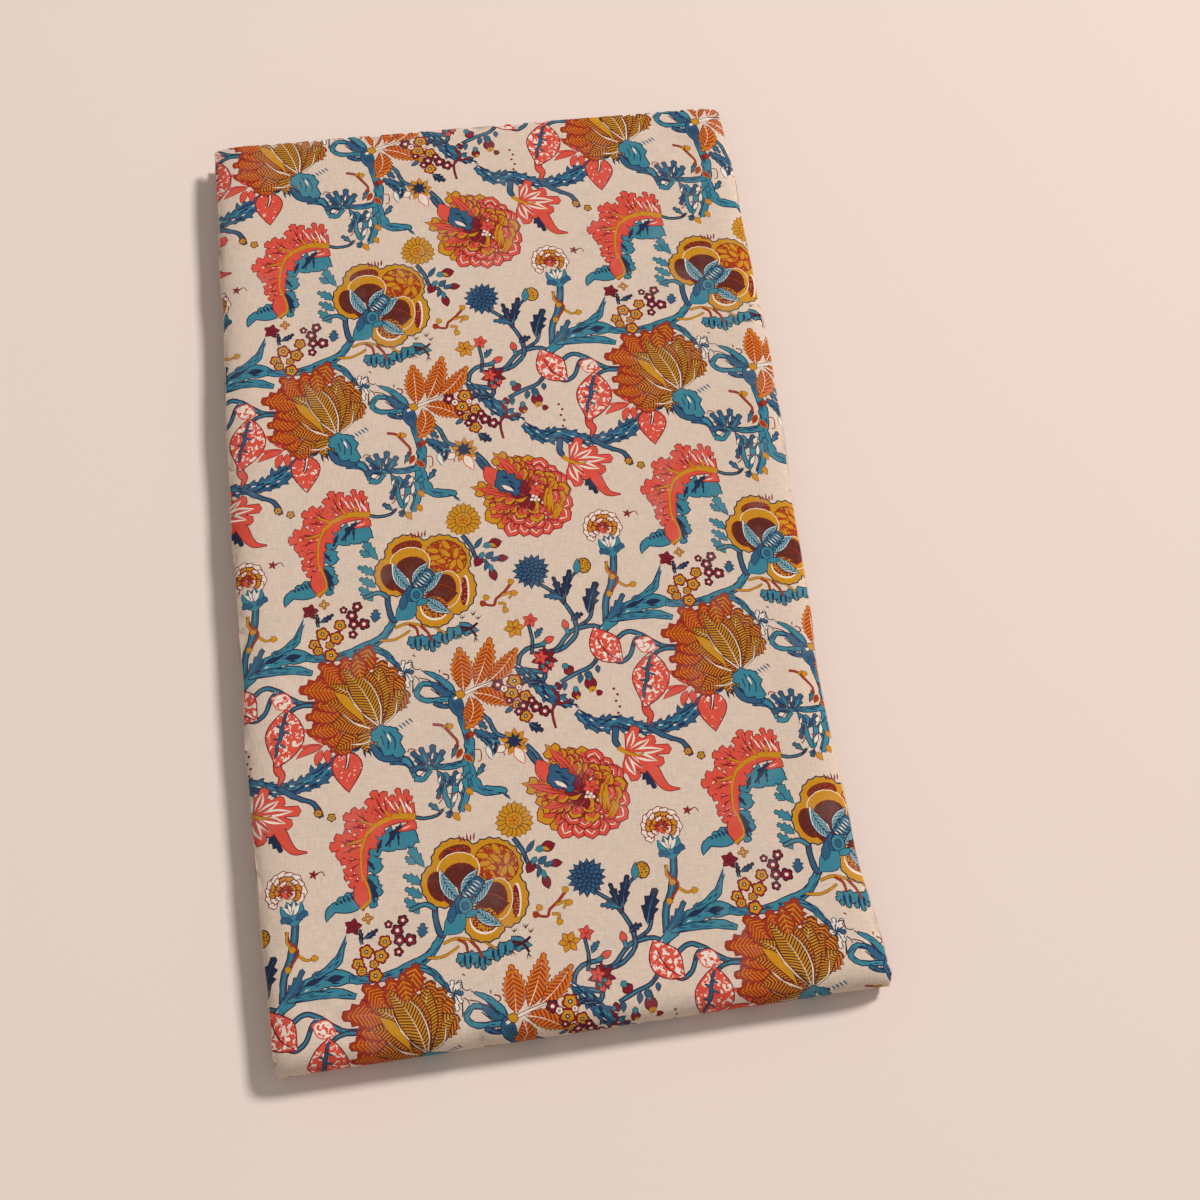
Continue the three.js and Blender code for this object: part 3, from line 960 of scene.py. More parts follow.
        pen.petals((350, 255), 0, 24, 5, 12, Ink.CORAL, edge=2, edge_ink=Ink.MAROON, steps=3)
        pen.petals((225, 512), 0, 44, 9, 20, Ink.OCHRE, edge=2, edge_ink=Ink.RUST, steps=3)
        pen.petals((225, 510), 0, 30, 8, 12, Ink.NAVY, edge=0, steps=3)
        pen.leaf((225, 530), (245, 585), 28, Ink.CREAM, edge=3, edge_ink=Ink.CORAL)
        pen.leaf((195, 520), (168, 535), 22, Ink.CREAM, edge=2.5, edge_ink=Ink.MAROON)
        pen.leaf((142, 510), (148, 555), 16, Ink.CREAM, edge=2.5, edge_ink=Ink.STEEL)

    def peony(self) -> None:
        """A large ruffled double flower, coral and rust with gold edges."""
        pen = self.pen
        centre = np.array([412, -300])
        gold, coral = Ink.OCHRE, Ink.CORAL
        outer = (
            ((535, -345), 56, coral), ((505, -385), 50, coral), ((468, -422), 56, coral),
            ((425, -438), 44, gold), ((385, -442), 44, gold), ((258, -288), 40, gold),
            ((256, -232), 58, gold), ((292, -198), 50, gold), ((318, -166), 50, coral),
            ((366, -158), 46, coral), ((408, -148), 46, coral), ((448, -152), 46, coral),
            ((488, -168), 50, coral), ((522, -192), 56, coral), ((538, -240), 60, coral),
            ((542, -298), 56, coral),
        )
        for i in pen.chance.permutation(len(outer)):
            tip, width, margin = outer[i]
            self.ruffled_petal(centre + (np.array(tip) - centre) * 0.42, np.array(tip), width, margin)
        for reach, width, count, gilt in ((118, 44, 15, 0.4), (96, 42, 13, 0.65), (72, 36, 10, 0.4)):
            for i in pen.chance.permutation(count):
                angle = math.radians(-105 + 285 * i / (count - 1) + pen.chance.uniform(-8, 8))
                ray = np.array([math.cos(angle), math.sin(angle)])
                tip = centre + ray * reach * pen.chance.uniform(0.88, 1.08)
                margin = gold if pen.chance.random() < gilt else coral
                bent = tip + np.array([-ray[1], ray[0]]) * pen.chance.uniform(-18, 18)
                self.ruffled_petal(centre + ray * reach * 0.4, bent, width * pen.chance.uniform(0.8, 1.2),
                                   margin)
        for base, tip, width in (((420, -345), (372, -440), 45), ((405, -335), (316, -464), 62),
                                 ((375, -270), (264, -268), 44), ((385, -290), (226, -354), 58)):
            self.side_leaf(np.array(base), np.array(tip), width)
        heart = centre + np.array([-5, 5])
        for i in range(15):
            angle = math.radians(-100 + 24 * i)
            tip = heart + np.array([math.cos(angle), math.sin(angle)]) * pen.chance.uniform(35, 62)
            pen.leaf(heart, tip, pen.chance.uniform(16, 30),
                     (Ink.MAROON, Ink.RUST, Ink.MAROON, Ink.OCHRE)[i % 4],
                     bend=pen.chance.uniform(-0.2, 0.2), peak=0.62, edge=2, edge_ink=Ink.PLUM, steps=4)
        for base, tip, bend in (((455, -220), (500, -335), -0.25), ((470, -215), (482, -310), -0.15),
                                ((460, -200), (505, -260), 0.2)):
            pen.leaf(base, tip, 20, Ink.OCHRE, bend=bend, teeth=4, depth=0.2, edge=2.4, edge_ink=Ink.RUST,
                     vein=Ink.RUST)
        pen.petals((432, -310), 0, 26, 5, 18, Ink.CORAL, first=20, edge=2, edge_ink=Ink.MAROON, steps=3)
        for x, y in ((418, -292), (428, -286), (422, -278), (434, -276), (412, -280)):
            pen.disc((x, y), 5.5, Ink.CREAM, steps=6, edge=1.4, edge_ink=Ink.MAROON)
        pen.stroke([(262, -450), (280, -415), (305, -385)], (12, 16), Ink.STEEL)
        pen.leaf((284, -420), (318, -335), 50, Ink.CORAL, peak=0.45, edge=2.4, edge_ink=Ink.MAROON)
        pen.mass([leaf_shape((315, -375), tip, width, teeth=3, depth=0.2)[0] for tip, width in (
            ((385, -335), 50), ((375, -305), 40), ((345, -390), 30), ((325, -325), 28))],
            Ink.STEEL, edge_ink=Ink.NAVY)
        pen.leaf((325, -345), (360, -318), 14, Ink.CREAM, edge=2, edge_ink=Ink.MAROON, steps=3)
        pen.leaves((((345, -360), (372, -338)), ((330, -375), (355, -365)), ((350, -345), (368, -318))),
                   9, Ink.NAVY, edge=0, steps=3)

    def side_leaf(self, base: Points, tip: Points, width: float) -> None:
        """One of the peony's long outer petals: scalloped gold, coral inside, with dark folds.

        Args:
            base: Where it grows from.
            tip: Where it ends.
            width: Its full width.
        """
        pen = self.pen
        reach = tip - base
        across = sideways(np.array([base, tip]))[0] * width
        scallops = [leaf_shape(base, tip, width * 0.6, peak=0.5)[0]]
        for share in (0.2, 0.4, 0.6, 0.78):
            for way in (-1, 1):
                foot = base + reach * (share - 0.1)
                scallops.append(leaf_shape(foot, foot + reach * 0.2 + across * way * (0.62 - 0.3 * share),
                                           width * 0.42, peak=0.62)[0])
        pen.mass(scallops, Ink.OCHRE, edge=3.6, edge_ink=Ink.MAROON)
        for share in (0.25, 0.45, 0.65):
            for way in (-1, 1):
                foot = base + reach * (share - 0.1)
                pen.leaf(foot, foot + reach * 0.17 + across * way * (0.46 - 0.25 * share), width * 0.28,
                         Ink.CORAL, peak=0.62, edge=2, edge_ink=Ink.MAROON, steps=3)
        pen.leaf(base, base + reach * 0.9, width * 0.36, Ink.CORAL, peak=0.6, edge=2.4, edge_ink=Ink.MAROON)
        pen.leaf(base, base + reach * 0.72, width * 0.16, Ink.RUST, peak=0.5, edge=0, steps=3)

    def ruffled_petal(self, base: Points, tip: Points, width: float, margin: Ink) -> None:
        """One petal: its margin, a pale line, a coral body and a dark vein.

        Args:
            base: Where it grows from.
            tip: Where it ends.
            width: Its full width.
            margin: Colour of its margin.
        """
        pen = self.pen
        reach = tip - base
        pen.leaf(base, tip, width, margin, peak=0.74, edge=3.4, edge_ink=Ink.MAROON, steps=7)
        if margin is Ink.CORAL:
            pen.leaf(base, base + reach * 0.86, width * 0.72, Ink.CREAM, peak=0.72, edge=0, steps=5)
        pen.leaf(base, base + reach * 0.8, width * 0.56, Ink.CORAL, peak=0.7, edge=2.2, edge_ink=Ink.MAROON,
                 steps=4)
        pen.leaf(base, base + reach * 0.62, width * 0.3, Ink.RUST, peak=0.62, edge=0, steps=3)
        pen.leaf(base, base + reach * 0.7, width * 0.09, Ink.MAROON, peak=0.6, edge=0, steps=2)

    def spiky_dahlia(self) -> None:
        """A small round flower of pointed teal petals."""
        centre = (370, -35)
        for outer, count, width in ((56, 16, 15), (43, 13, 14), (29, 9, 12), (16, 6, 9)):
            self.pen.petals(centre, outer * 0.25, outer, count, width, Ink.STEEL, first=count * 9, edge=4,
                            edge_ink=Ink.NAVY, steps=3)

    def gold_daisy(self) -> None:
        """A round gold flower with fine dark divisions."""
        pen = self.pen
        centre = (185, -245)
        pen.petals(centre, 12, 56, 18, 17, Ink.OCHRE, peak=0.7, edge=2, edge_ink=Ink.BROWN, steps=4)
        pen.disc(centre, 24, Ink.OCHRE, lobes=9, depth=0.08, steps=18, edge=2, edge_ink=Ink.BROWN)
        pen.petals(centre, 2, 17, 5, 11, Ink.OCHRE, edge=2, edge_ink=Ink.RUST, steps=3)

    def carnation(self) -> None:
        """A ruffled cream flower striped with gold and maroon, in a teal cup."""
        pen = self.pen
        centre = np.array([618, -148])
        for inner, reach, width, count, first, sweep in ((20, 62, 36, 11, -212, 245),
                                                         (12, 48, 32, 9, -200, 225),
                                                         (5, 32, 26, 7, -205, 235)):
            for i in range(count):
                angle = math.radians(first + sweep * i / (count - 1))
                ray = np.array([math.cos(angle), math.sin(angle)])
                tip = centre + ray * reach * (1 + 0.1 * math.sin(3.1 * i))
                bright = reach < 50 and i % 3
                pen.leaf(centre + ray * inner, tip, width, Ink.OCHRE if bright else Ink.CREAM, peak=0.74,
                         edge=3, edge_ink=Ink.MAROON, steps=4)
                for way, ink in ((-0.24, Ink.RUST), (0.04, Ink.MAROON),
                                 (0.26, Ink.RUST if bright else Ink.OCHRE)):
                    off = np.array([-ray[1], ray[0]]) * width * way
                    pen.leaf(centre + ray * inner, centre + ray * reach * 0.82 + off, width * 0.2, ink,
                             peak=0.7, edge=0, steps=3)
        pen.leaf((607, -150), (625, -125), 14, Ink.CORAL, edge=1.8, edge_ink=Ink.MAROON, steps=3)
        pen.mass([leaf_shape((636, -40), tip, width, peak=0.55)[0] for tip, width in (
            ((598, -108), 30), ((618, -118), 30), ((640, -122), 30), ((662, -112), 28))],
            Ink.TEAL, edge=2.4, edge_ink=Ink.NAVY)
        for tip in ((604, -106), (620, -115), (640, -118), (656, -108)):
            pen.leaf((634, -75), tip, 12, Ink.CREAM, edge=2, edge_ink=Ink.NAVY, steps=3)
        pen.leaf((630, -60), (595, -68), 22, Ink.STEEL, teeth=2, edge=2, edge_ink=Ink.NAVY)
        pen.leaf((638, -60), (675, -80), 22, Ink.STEEL, teeth=2, edge=2, edge_ink=Ink.NAVY)

    def trumpet_flower(self) -> None:
        """The largest flower: gold scalloped lobes round brown hearts, with a striped teal pistil."""
        pen = self.pen

        def round_lobe(x: float, y: float, wide: float, high: float, turn: float, teeth: int = 0) -> Points:
            """An oval outline, scalloped where it has teeth."""
            angle = np.linspace(0, 2 * math.pi, 2 * teeth if teeth else 16, endpoint=False)
            wave = 1 + (0.035 * np.where(np.arange(len(angle)) % 2, 1, -1) if teeth else 0)
            flat = np.stack([wide * np.cos(angle) * wave, high * np.sin(angle) * wave], axis=1)
            c, s = math.cos(math.radians(turn)), math.sin(math.radians(turn))
            return np.array([x, y]) + flat @ np.array([[c, s], [-s, c]])

        outer = [round_lobe(-58, -88, 58, 68, -15, 15), round_lobe(-5, -150, 72, 70, 0, 17),
                 round_lobe(105, -125, 85, 75, 35, 19), round_lobe(118, -15, 70, 85, 10, 17),
                 round_lobe(50, 45, 60, 56, 20, 14)]
        pen.mass(outer, Ink.OCHRE, edge=4.2, edge_ink=Ink.NAVY)
        pen.shape(round_lobe(-5, -175, 48, 24, -8), Ink.RUST, edge=2, edge_ink=Ink.BROWN,
                  figure=Figure.DOTS, line_ink=Ink.BROWN, share=0.5)
        pen.shape(round_lobe(155, -5, 13, 52, 8), Ink.CREAM, edge=0)
        pen.shape(round_lobe(150, -2, 12, 50, 8), Ink.MAROON, edge=0, figure=Figure.DOTS, line_ink=Ink.OCHRE,
                  share=0.3)
        pen.shape(round_lobe(112, -125, 66, 56, 38), Ink.OCHRE, edge=3, edge_ink=Ink.BROWN,
                  figure=Figure.MARBLE, line_ink=Ink.RUST, share=0.62)
        for x, y, turn in ((75, -155, 20), (118, -168, 60), (145, -135, 110), (92, -118, 30),
                           (130, -98, 130), (152, -95, 80), (78, -130, 0), (112, -140, 45)):
            pen.disc((x, y), 19, Ink.OCHRE, steps=9, squash=0.45, turn=turn, edge=3, edge_ink=Ink.RUST)
        pen.shape(round_lobe(-2, -125, 62, 52, 0), Ink.OCHRE, edge=2.6, edge_ink=Ink.CREAM)
        pen.shape(round_lobe(100, -18, 42, 62, 12), Ink.OCHRE, edge=2.6, edge_ink=Ink.CREAM)
        for heart in (round_lobe(-66, -85, 32, 46, -12), round_lobe(0, -105, 50, 40, 0),
                      round_lobe(92, -20, 35, 50, 12), leaf_shape((0, -45), (-62, -50), 60)[0],
                      leaf_shape((30, -5), (130, 0), 70)[0]):
            pen.shape(heart, Ink.BROWN, edge=2, edge_ink=Ink.RUST, figure=Figure.DOTS, line_ink=Ink.RUST,
                      share=0.2)
        pen.shape(round_lobe(50, 40, 44, 40, 25), Ink.CREAM, edge=0)
        pen.shape(round_lobe(52, 36, 42, 37, 25), Ink.OCHRE, edge=0, figure=Figure.DOTS, line_ink=Ink.MAROON,
                  share=0.5)
        for base, tip, width, bend in (((-8, -30), (-55, -135), 38, -0.2),
                                       ((0, -40), (54, -118), 34, -0.16),
                                       ((20, -15), (98, -80), 40, -0.12), ((30, 0), (100, 62), 34, 0.16)):
            start, end = np.array(base), np.array(tip)
            pen.leaf(start, end, width, Ink.CREAM, bend=bend, edge=3, edge_ink=Ink.NAVY, steps=6)
            pen.leaf(start, start + (end - start) * 0.97, width * 0.9, Ink.TEAL, bend=bend, steps=6, edge=0,
                     figure=Figure.STRIPES, line_ink=Ink.CREAM, share=0.14, spacing=12, slant=-1.4,
                     vein=Ink.NAVY)
        axis = np.array([0.62, -0.55])
        for i in range(6):
            place = np.array([12, -45]) + axis * 13.5 * i
            pen.disc(place, 22 - 1.6 * abs(i - 2), Ink.STEEL if i % 2 else Ink.TEAL, steps=9, squash=0.46,
                     turn=48, edge=3.8, edge_ink=Ink.NAVY)
            pen.leaf(place - axis * 8 + (-9, -8), place - axis * 8 + (8, 10), 4, Ink.CREAM,
                     bend=-0.2, edge=0, steps=3)
        pen.stroke([(-22, 15), (-25, -20), (-12, -45)], (14, 10), Ink.STEEL, edge_ink=Ink.NAVY)
        pen.disc((2, -14), 20, Ink.TEAL, steps=11, squash=1.25, edge=3.4, edge_ink=Ink.NAVY)
        pen.disc((2, -14), 9, Ink.STEEL, steps=8, squash=1.3, edge=2.6, edge_ink=Ink.NAVY)
        pen.disc((16, 12), 19, Ink.TEAL, steps=9, squash=0.5, turn=-15, edge=2.6, edge_ink=Ink.NAVY)
        pen.leaf((-75, 60), (-2, 10), 62, Ink.TEAL, peak=0.55, edge=2.4, edge_ink=Ink.NAVY)
        pen.leaf((-50, 30), (-30, -30), 24, Ink.STEEL, edge=2.4, edge_ink=Ink.NAVY)
        for i in range(5):
            pen.leaf((20 + 9 * i, -205), (14 + 12 * i, -232 + 6 * (i % 2)), 6, Ink.MAROON,
                     edge=0, steps=3)

    def bud_sprigs(self) -> None:
        """Red buds in teal cups, and a gold berry."""
        pen = self.pen
        for base, tip, width in (
            ((245, -145), (293, -152), 32), ((225, -115), (198, -80), 26),
            ((262, -95), (305, -93), 22), ((245, -70), (253, -22), 24),
            ((420, 295), (438, 325), 32), ((378, 360), (398, 355), 26),
            ((487, 335), (490, 392), 36), ((440, 375), (437, 410), 26),
            ((362, 212), (402, 195), 20), ((447, 185), (442, 143), 20),
            ((368, 275), (384, 290), 18), ((352, 285), (362, 308), 18),
        ):
            self.bud(base, tip, width, Ink.MAROON if width > 21 else Ink.CORAL)
        pen.leaves((((205, -140), (235, -175), 14), ((235, -100), (262, -120), 20),
                    ((240, -90), (225, -60), 12), ((250, -90), (282, -100), 14),
                    ((465, 330), (455, 360), 16), ((475, 330), (500, 345), 16),
                    ((520, 310), (518, 335), 14), ((410, 345), (405, 375), 16)),
                   Ink.STEEL, edge=2.2, steps=3)
        pen.leaves((((488, 375), (482, 398)), ((492, 375), (502, 395)), ((255, -150), (275, -135)),
                    ((436, 400), (450, 408))), 12, Ink.OCHRE, edge=0, steps=3)
        pen.disc((536, -28), 21, Ink.OCHRE, steps=10, squash=1.15, figure=Figure.DOTS, line_ink=Ink.BROWN,
                 share=0.34)
        pen.leaf((510, -2), (520, -55), 22, Ink.TEAL, edge=2, steps=4)


@dataclass
class OutlineRow:
    """Place along the pack, and how far each side stands in from the full width, in mm."""

    along: float
    left_inset: float
    right_inset: float


@dataclass
class Roll:
    """A soft rolled margin, in mm: its width, and how far the layers press together in it."""

    width: float
    press: float

    def keep(self, distance: Points) -> Points:
        """The share of its height that the pack keeps at distances in from the margin."""
        t = np.clip(1 - distance / self.width, 0, 1)
        return 1 - self.press * (1 - np.sqrt(1 - t * t))


@dataclass
class Crease:
    """A soft trough or ridge that a hand left in the cloth, in mm on the upper face."""

    start: Place
    end: Place
    width: float
    height: float

    def lift(self, x: Points, y: Points) -> Points:
        """How far it raises the cloth at some places."""
        start, end = np.array(self.start), np.array(self.end)
        span = end - start
        share = np.clip(((x - start[0]) * span[0] + (y - start[1]) * span[1]) / (span @ span), 0, 1)
        away = np.hypot(x - start[0] - share * span[0], y - start[1] - share * span[1])
        fade = np.sin(math.pi * np.clip(share, 0.04, 0.96)) ** 0.6
        return self.height * fade * np.exp(-(away / self.width) ** 2)


@dataclass
class FoldedRoute:
    """The way that the cloth runs back and forth through the pack, in mm."""

    length: float = 554.0
    width: float = 316.0
    height: float = 22.2
    turns: int = 5
    ply: float = 1.15
    near_gap: float = 3.0
    near_skew: float = 6.0
    far_skew: float = 2.5
    side_roll: Roll = field(default_factory=lambda: Roll(19.0, 0.27))
    far_roll: Roll = field(default_factory=lambda: Roll(42.0, 0.13))
    low_end: float = 3.0
    inner_end: float = 7.0
    high_insets: tuple[float, float] = (0.0, 4.0)
    low_insets: tuple[float, float] = (5.0, 1.5)
    outline: tuple[OutlineRow, ...] = (
        OutlineRow(-277, -2.5, -1.5), OutlineRow(-188, -4, 5.5), OutlineRow(-114, -4, 6.5),
        OutlineRow(-18, -2.5, 3),
        OutlineRow(75, -1, -1), OutlineRow(177, 3.5, -1), OutlineRow(245, 5, -0.5), OutlineRow(277, 6, 1),
    )
    creases: tuple[Crease, ...] = (
        Crease((-150, -236), (-118, -262), 5.0, -0.9), Crease((120, -268), (152, -236), 6.0, -0.8),
        Crease((30, -262), (52, -276), 4.0, -0.7), Crease((-140, 60), (-60, 84), 9.0, 0.35),
        Crease((20, 150), (130, 118), 12.0, 0.3), Crease((-90, -150), (40, -178), 11.0, 0.3),
        Crease((90, -60), (148, -20), 8.0, 0.4), Crease((-148, 210), (-100, 262), 8.0, -0.5),
        Crease((112, 268), (150, 232), 8.0, -1.1), Crease((-120, -40), (-146, -110), 8.0, 0.4),
    )

    def __post_init__(self) -> None:
        """Lays out the runs and turns, and where each starts along the cloth."""
        self.pitch = (self.height - self.ply) / (2 * self.turns - 1)
        self.near = -self.length / 2 + self.near_gap + (self.turns - 0.5) * self.pitch + self.ply / 2
        self.far = self.length / 2
        middle = self.height / 2
        turn_end = self.far - self.pitch / 2 - self.ply / 2
        self.legs: list[tuple] = []
        side, start = -1, self.far - self.low_end
        for turn in range(self.turns):
            radius = (self.turns - 0.5 - turn) * self.pitch
            last = turn == self.turns - 1
            insets = self.high_insets if side < 0 else self.low_insets
            end = self.far - self.inner_end if last else turn_end - insets[turn // 2]
            self.legs.append(("run", start, self.near, middle + side * radius, start - self.near))
            self.legs.append(("turn", self.near, -1, middle, side * radius, math.pi * radius))
            side = -side
            self.legs.append(("run", self.near, end, middle + side * radius, end - self.near))
            if not last:
                half = self.pitch / 2
                self.legs.append(("turn", end, 1, middle + side * (radius - half), side * half,
                                  math.pi * half))
            start = end
        self.starts = np.concatenate([[0.0], np.cumsum([leg[-1] for leg in self.legs])])

    def total(self) -> float:
        """Length of cloth in the pack."""
        return float(self.starts[-1])

    def section(self, along: Points) -> tuple[Points, Points, Points, Points]:
        """Finds the middle of the cloth at lengths along it.

        Args:
            along: Lengths from the free end under the pack.

        Returns:
            Place along the pack, height, and the two parts of the printed face's direction.
        """
        index = np.clip(np.searchsorted(self.starts, along, side="right") - 1, 0, len(self.legs) - 1)
        y, z, out_y, out_z = (np.zeros(len(along)) for _ in range(4))
        for i, leg in enumerate(self.legs):
            here = index == i
            if not here.any():
                continue
            share = (along[here] - self.starts[i]) / leg[-1]
            if leg[0] == "run":
                _, start, end, level, _ = leg
                y[here] = start + (end - start) * share
                z[here] = level
                out_z[here] = math.copysign(1, end - start)
            else:
                _, centre, bulge, level, radius, _ = leg
                angle = math.pi * share
                y[here] = centre + bulge * abs(radius) * np.sin(angle)
                z[here] = level + radius * np.cos(angle)
                outward = -bulge * math.copysign(1, radius)
                out_y[here] = -outward * bulge * np.sin(angle)
                out_z[here] = -outward * math.copysign(1, radius) * np.cos(angle)
        return y, z, out_y, out_z

    def inset(self, y: Points, column: str) -> Points:
        """The outline's inset at places along the pack, eased between the rows."""
        rows = self.outline
        places = np.array([row.along for row in rows], float)
        values = np.array([getattr(row, column) for row in rows], float)
        i = np.clip(np.searchsorted(places, y) - 1, 0, len(rows) - 2)
        t = np.clip((y - places[i]) / (places[i + 1] - places[i]), 0, 1)
        t = t * t * (3 - 2 * t)
        return values[i] + (values[i + 1] - values[i]) * t

    def sides(self, y: Points) -> tuple[Points, Points]:
        """The left and right sides of the pack at places along it."""
        return self.inset(y, "left_inset") - self.width / 2, self.width / 2 - self.inset(y, "right_inset")

    def settle(self, across: Points, y: Points, z: Points) -> Points:
        """Bends the straight block of layers into the soft, uneven pack.

        Args:
            across: Places across the cloth, -1 at its left side and +1 at its right.
            y: Places along the straight block.
            z: Heights in it.

        Returns:
            The places in the pack, one a row.
        """
        left, right = self.sides(y)
        top = np.clip((z - self.height + 2 * self.pitch) / self.pitch, 0, 1)
        wander = 0.8 * np.sin(2 * math.pi * z / 8.7 + across) * (1 - top) + 0.8 * across * top
        ragged = 0.5 * np.sin(y / 23 + z * 1.3) + 0.35 * np.sin(y / 9.1 + z * 2.1)
        edge = np.abs(across) ** 8
        x = left + (right - left) * (across + 1) / 2 + wander + ragged * edge
        inward = np.minimum(x - left - wander, right - x + wander)
        keep = self.side_roll.keep(np.maximum(inward, 0)) * self.far_roll.keep(self.far - y)
        swell = 0.014 * np.sin(x / 190 + 1) * np.cos(y / 260)
        skewed = y + self.near_skew * across / 2 * np.clip(0.5 - y / self.length, 0, 1)
        skewed += self.far_skew * (across + 1) / 2 * np.clip(0.5 + y / self.length, 0, 1)
        level = z * (keep + swell)
        lift = sum(crease.lift(x, y) for crease in self.creases)
        ripple = 0.16 * np.sin(x / 13 + 1.7 * np.sin(y / 41)) * np.sin(y / 19 + 1.3 * np.sin(x / 37))
        level = level + (lift + ripple) * np.clip(z / self.height, 0, 1.05) ** 2
        return np.stack([x, skewed, np.maximum(level, 0)], axis=1)

    def place(self, across: Points, along: Points, offset: Points | float,
              beyond: Points | float = 0.0) -> Points:
        """Finds points of the cloth in the pack.

        Args:
            across: Places across the cloth, -1 to 1.
            along: Lengths along it.
            offset: How far towards the printed face, from the middle of the cloth.
            beyond: How far outside the side edge.

        Returns:
            The places in mm, one a row.
        """
        y, z, out_y, out_z = self.section(along)
        places = self.settle(across, y + out_y * offset, z + out_z * offset)
        places[:, 0] += np.sign(across) * beyond
        return places


@dataclass(frozen=True)
class Slack:
    """A patch of cloth that lies slack, in mm: its middle, its reach, and how far the print slid there."""

    middle: Place
    reach: Place
    slide: Place


@dataclass
class Repeat:
    """How the print lies on the cloth."""

    length: float = 176.0
    aspect: float = 1.1312
    turn_deg: float = 2.1
    middle: Place = (0.366, 0.846)
    slacks: tuple[Slack, ...] = (
        Slack((158.0, 205.0), (78.0, 88.0), (0.5, -11.0)), Slack((158.0, 10.0), (46.0, 62.0), (-0.5, -9.5)),
        Slack((158.0, -70.0), (42.0, 60.0), (-3.0, -3.0)), Slack((158.0, -245.0), (46.0, 46.0), (3.5, -6.0)),
    )

    def drift(self, cloth: Points) -> Points:
        """How far the slack cloth along the right side has slid, in mm."""
        moved = np.zeros_like(cloth)
        for slack in self.slacks:
            away = (cloth - np.array(slack.middle)) / np.array(slack.reach)
            moved += np.exp(-np.sum(away ** 2, axis=1))[:, None] * np.array(slack.slide)
        return moved

    def to_cloth(self, chart: Points) -> Points:
        """Turns chart places into flat places on the upper face, in mm."""
        turn = math.radians(self.turn_deg)
        c, s = math.cos(turn), math.sin(turn)
        d = chart - np.array(self.middle)
        flat = np.stack([d[:, 0] * c + d[:, 1] * s, d[:, 0] * s - d[:, 1] * c], axis=1) * self.length
        return flat + self.drift(flat)

    def to_chart(self, cloth: Points) -> Points:
        """Turns flat places on the cloth into chart places."""
        turn = math.radians(self.turn_deg)
        c, s = math.cos(turn), math.sin(turn)
        flat = cloth
        for _ in range(3):
            flat = cloth - self.drift(flat)
        d = flat / self.length
        return np.stack([d[:, 0] * c + d[:, 1] * s, d[:, 0] * s - d[:, 1] * c],
                        axis=1) + np.array(self.middle)


def within(outline: Points, places: Points) -> Points:
    """Says which places lie inside a closed outline.

    Args:
        outline: The outline's points, one a row.
        places: The places, one a row.

    Returns:
        True for each place inside.
    """
    x, y = places[:, 0][None], places[:, 1][None]
    ax, ay = outline[:, 0][:, None], outline[:, 1][:, None]
    bx, by = np.roll(ax, -1), np.roll(ay, -1)
    crosses = (ay > y) != (by > y)
    rise = np.where(by == ay, 1.0, by - ay)
    left = x < (bx - ax) * (y - ay) / rise + ax
    return np.sum(crosses & left, axis=0) % 2 == 1


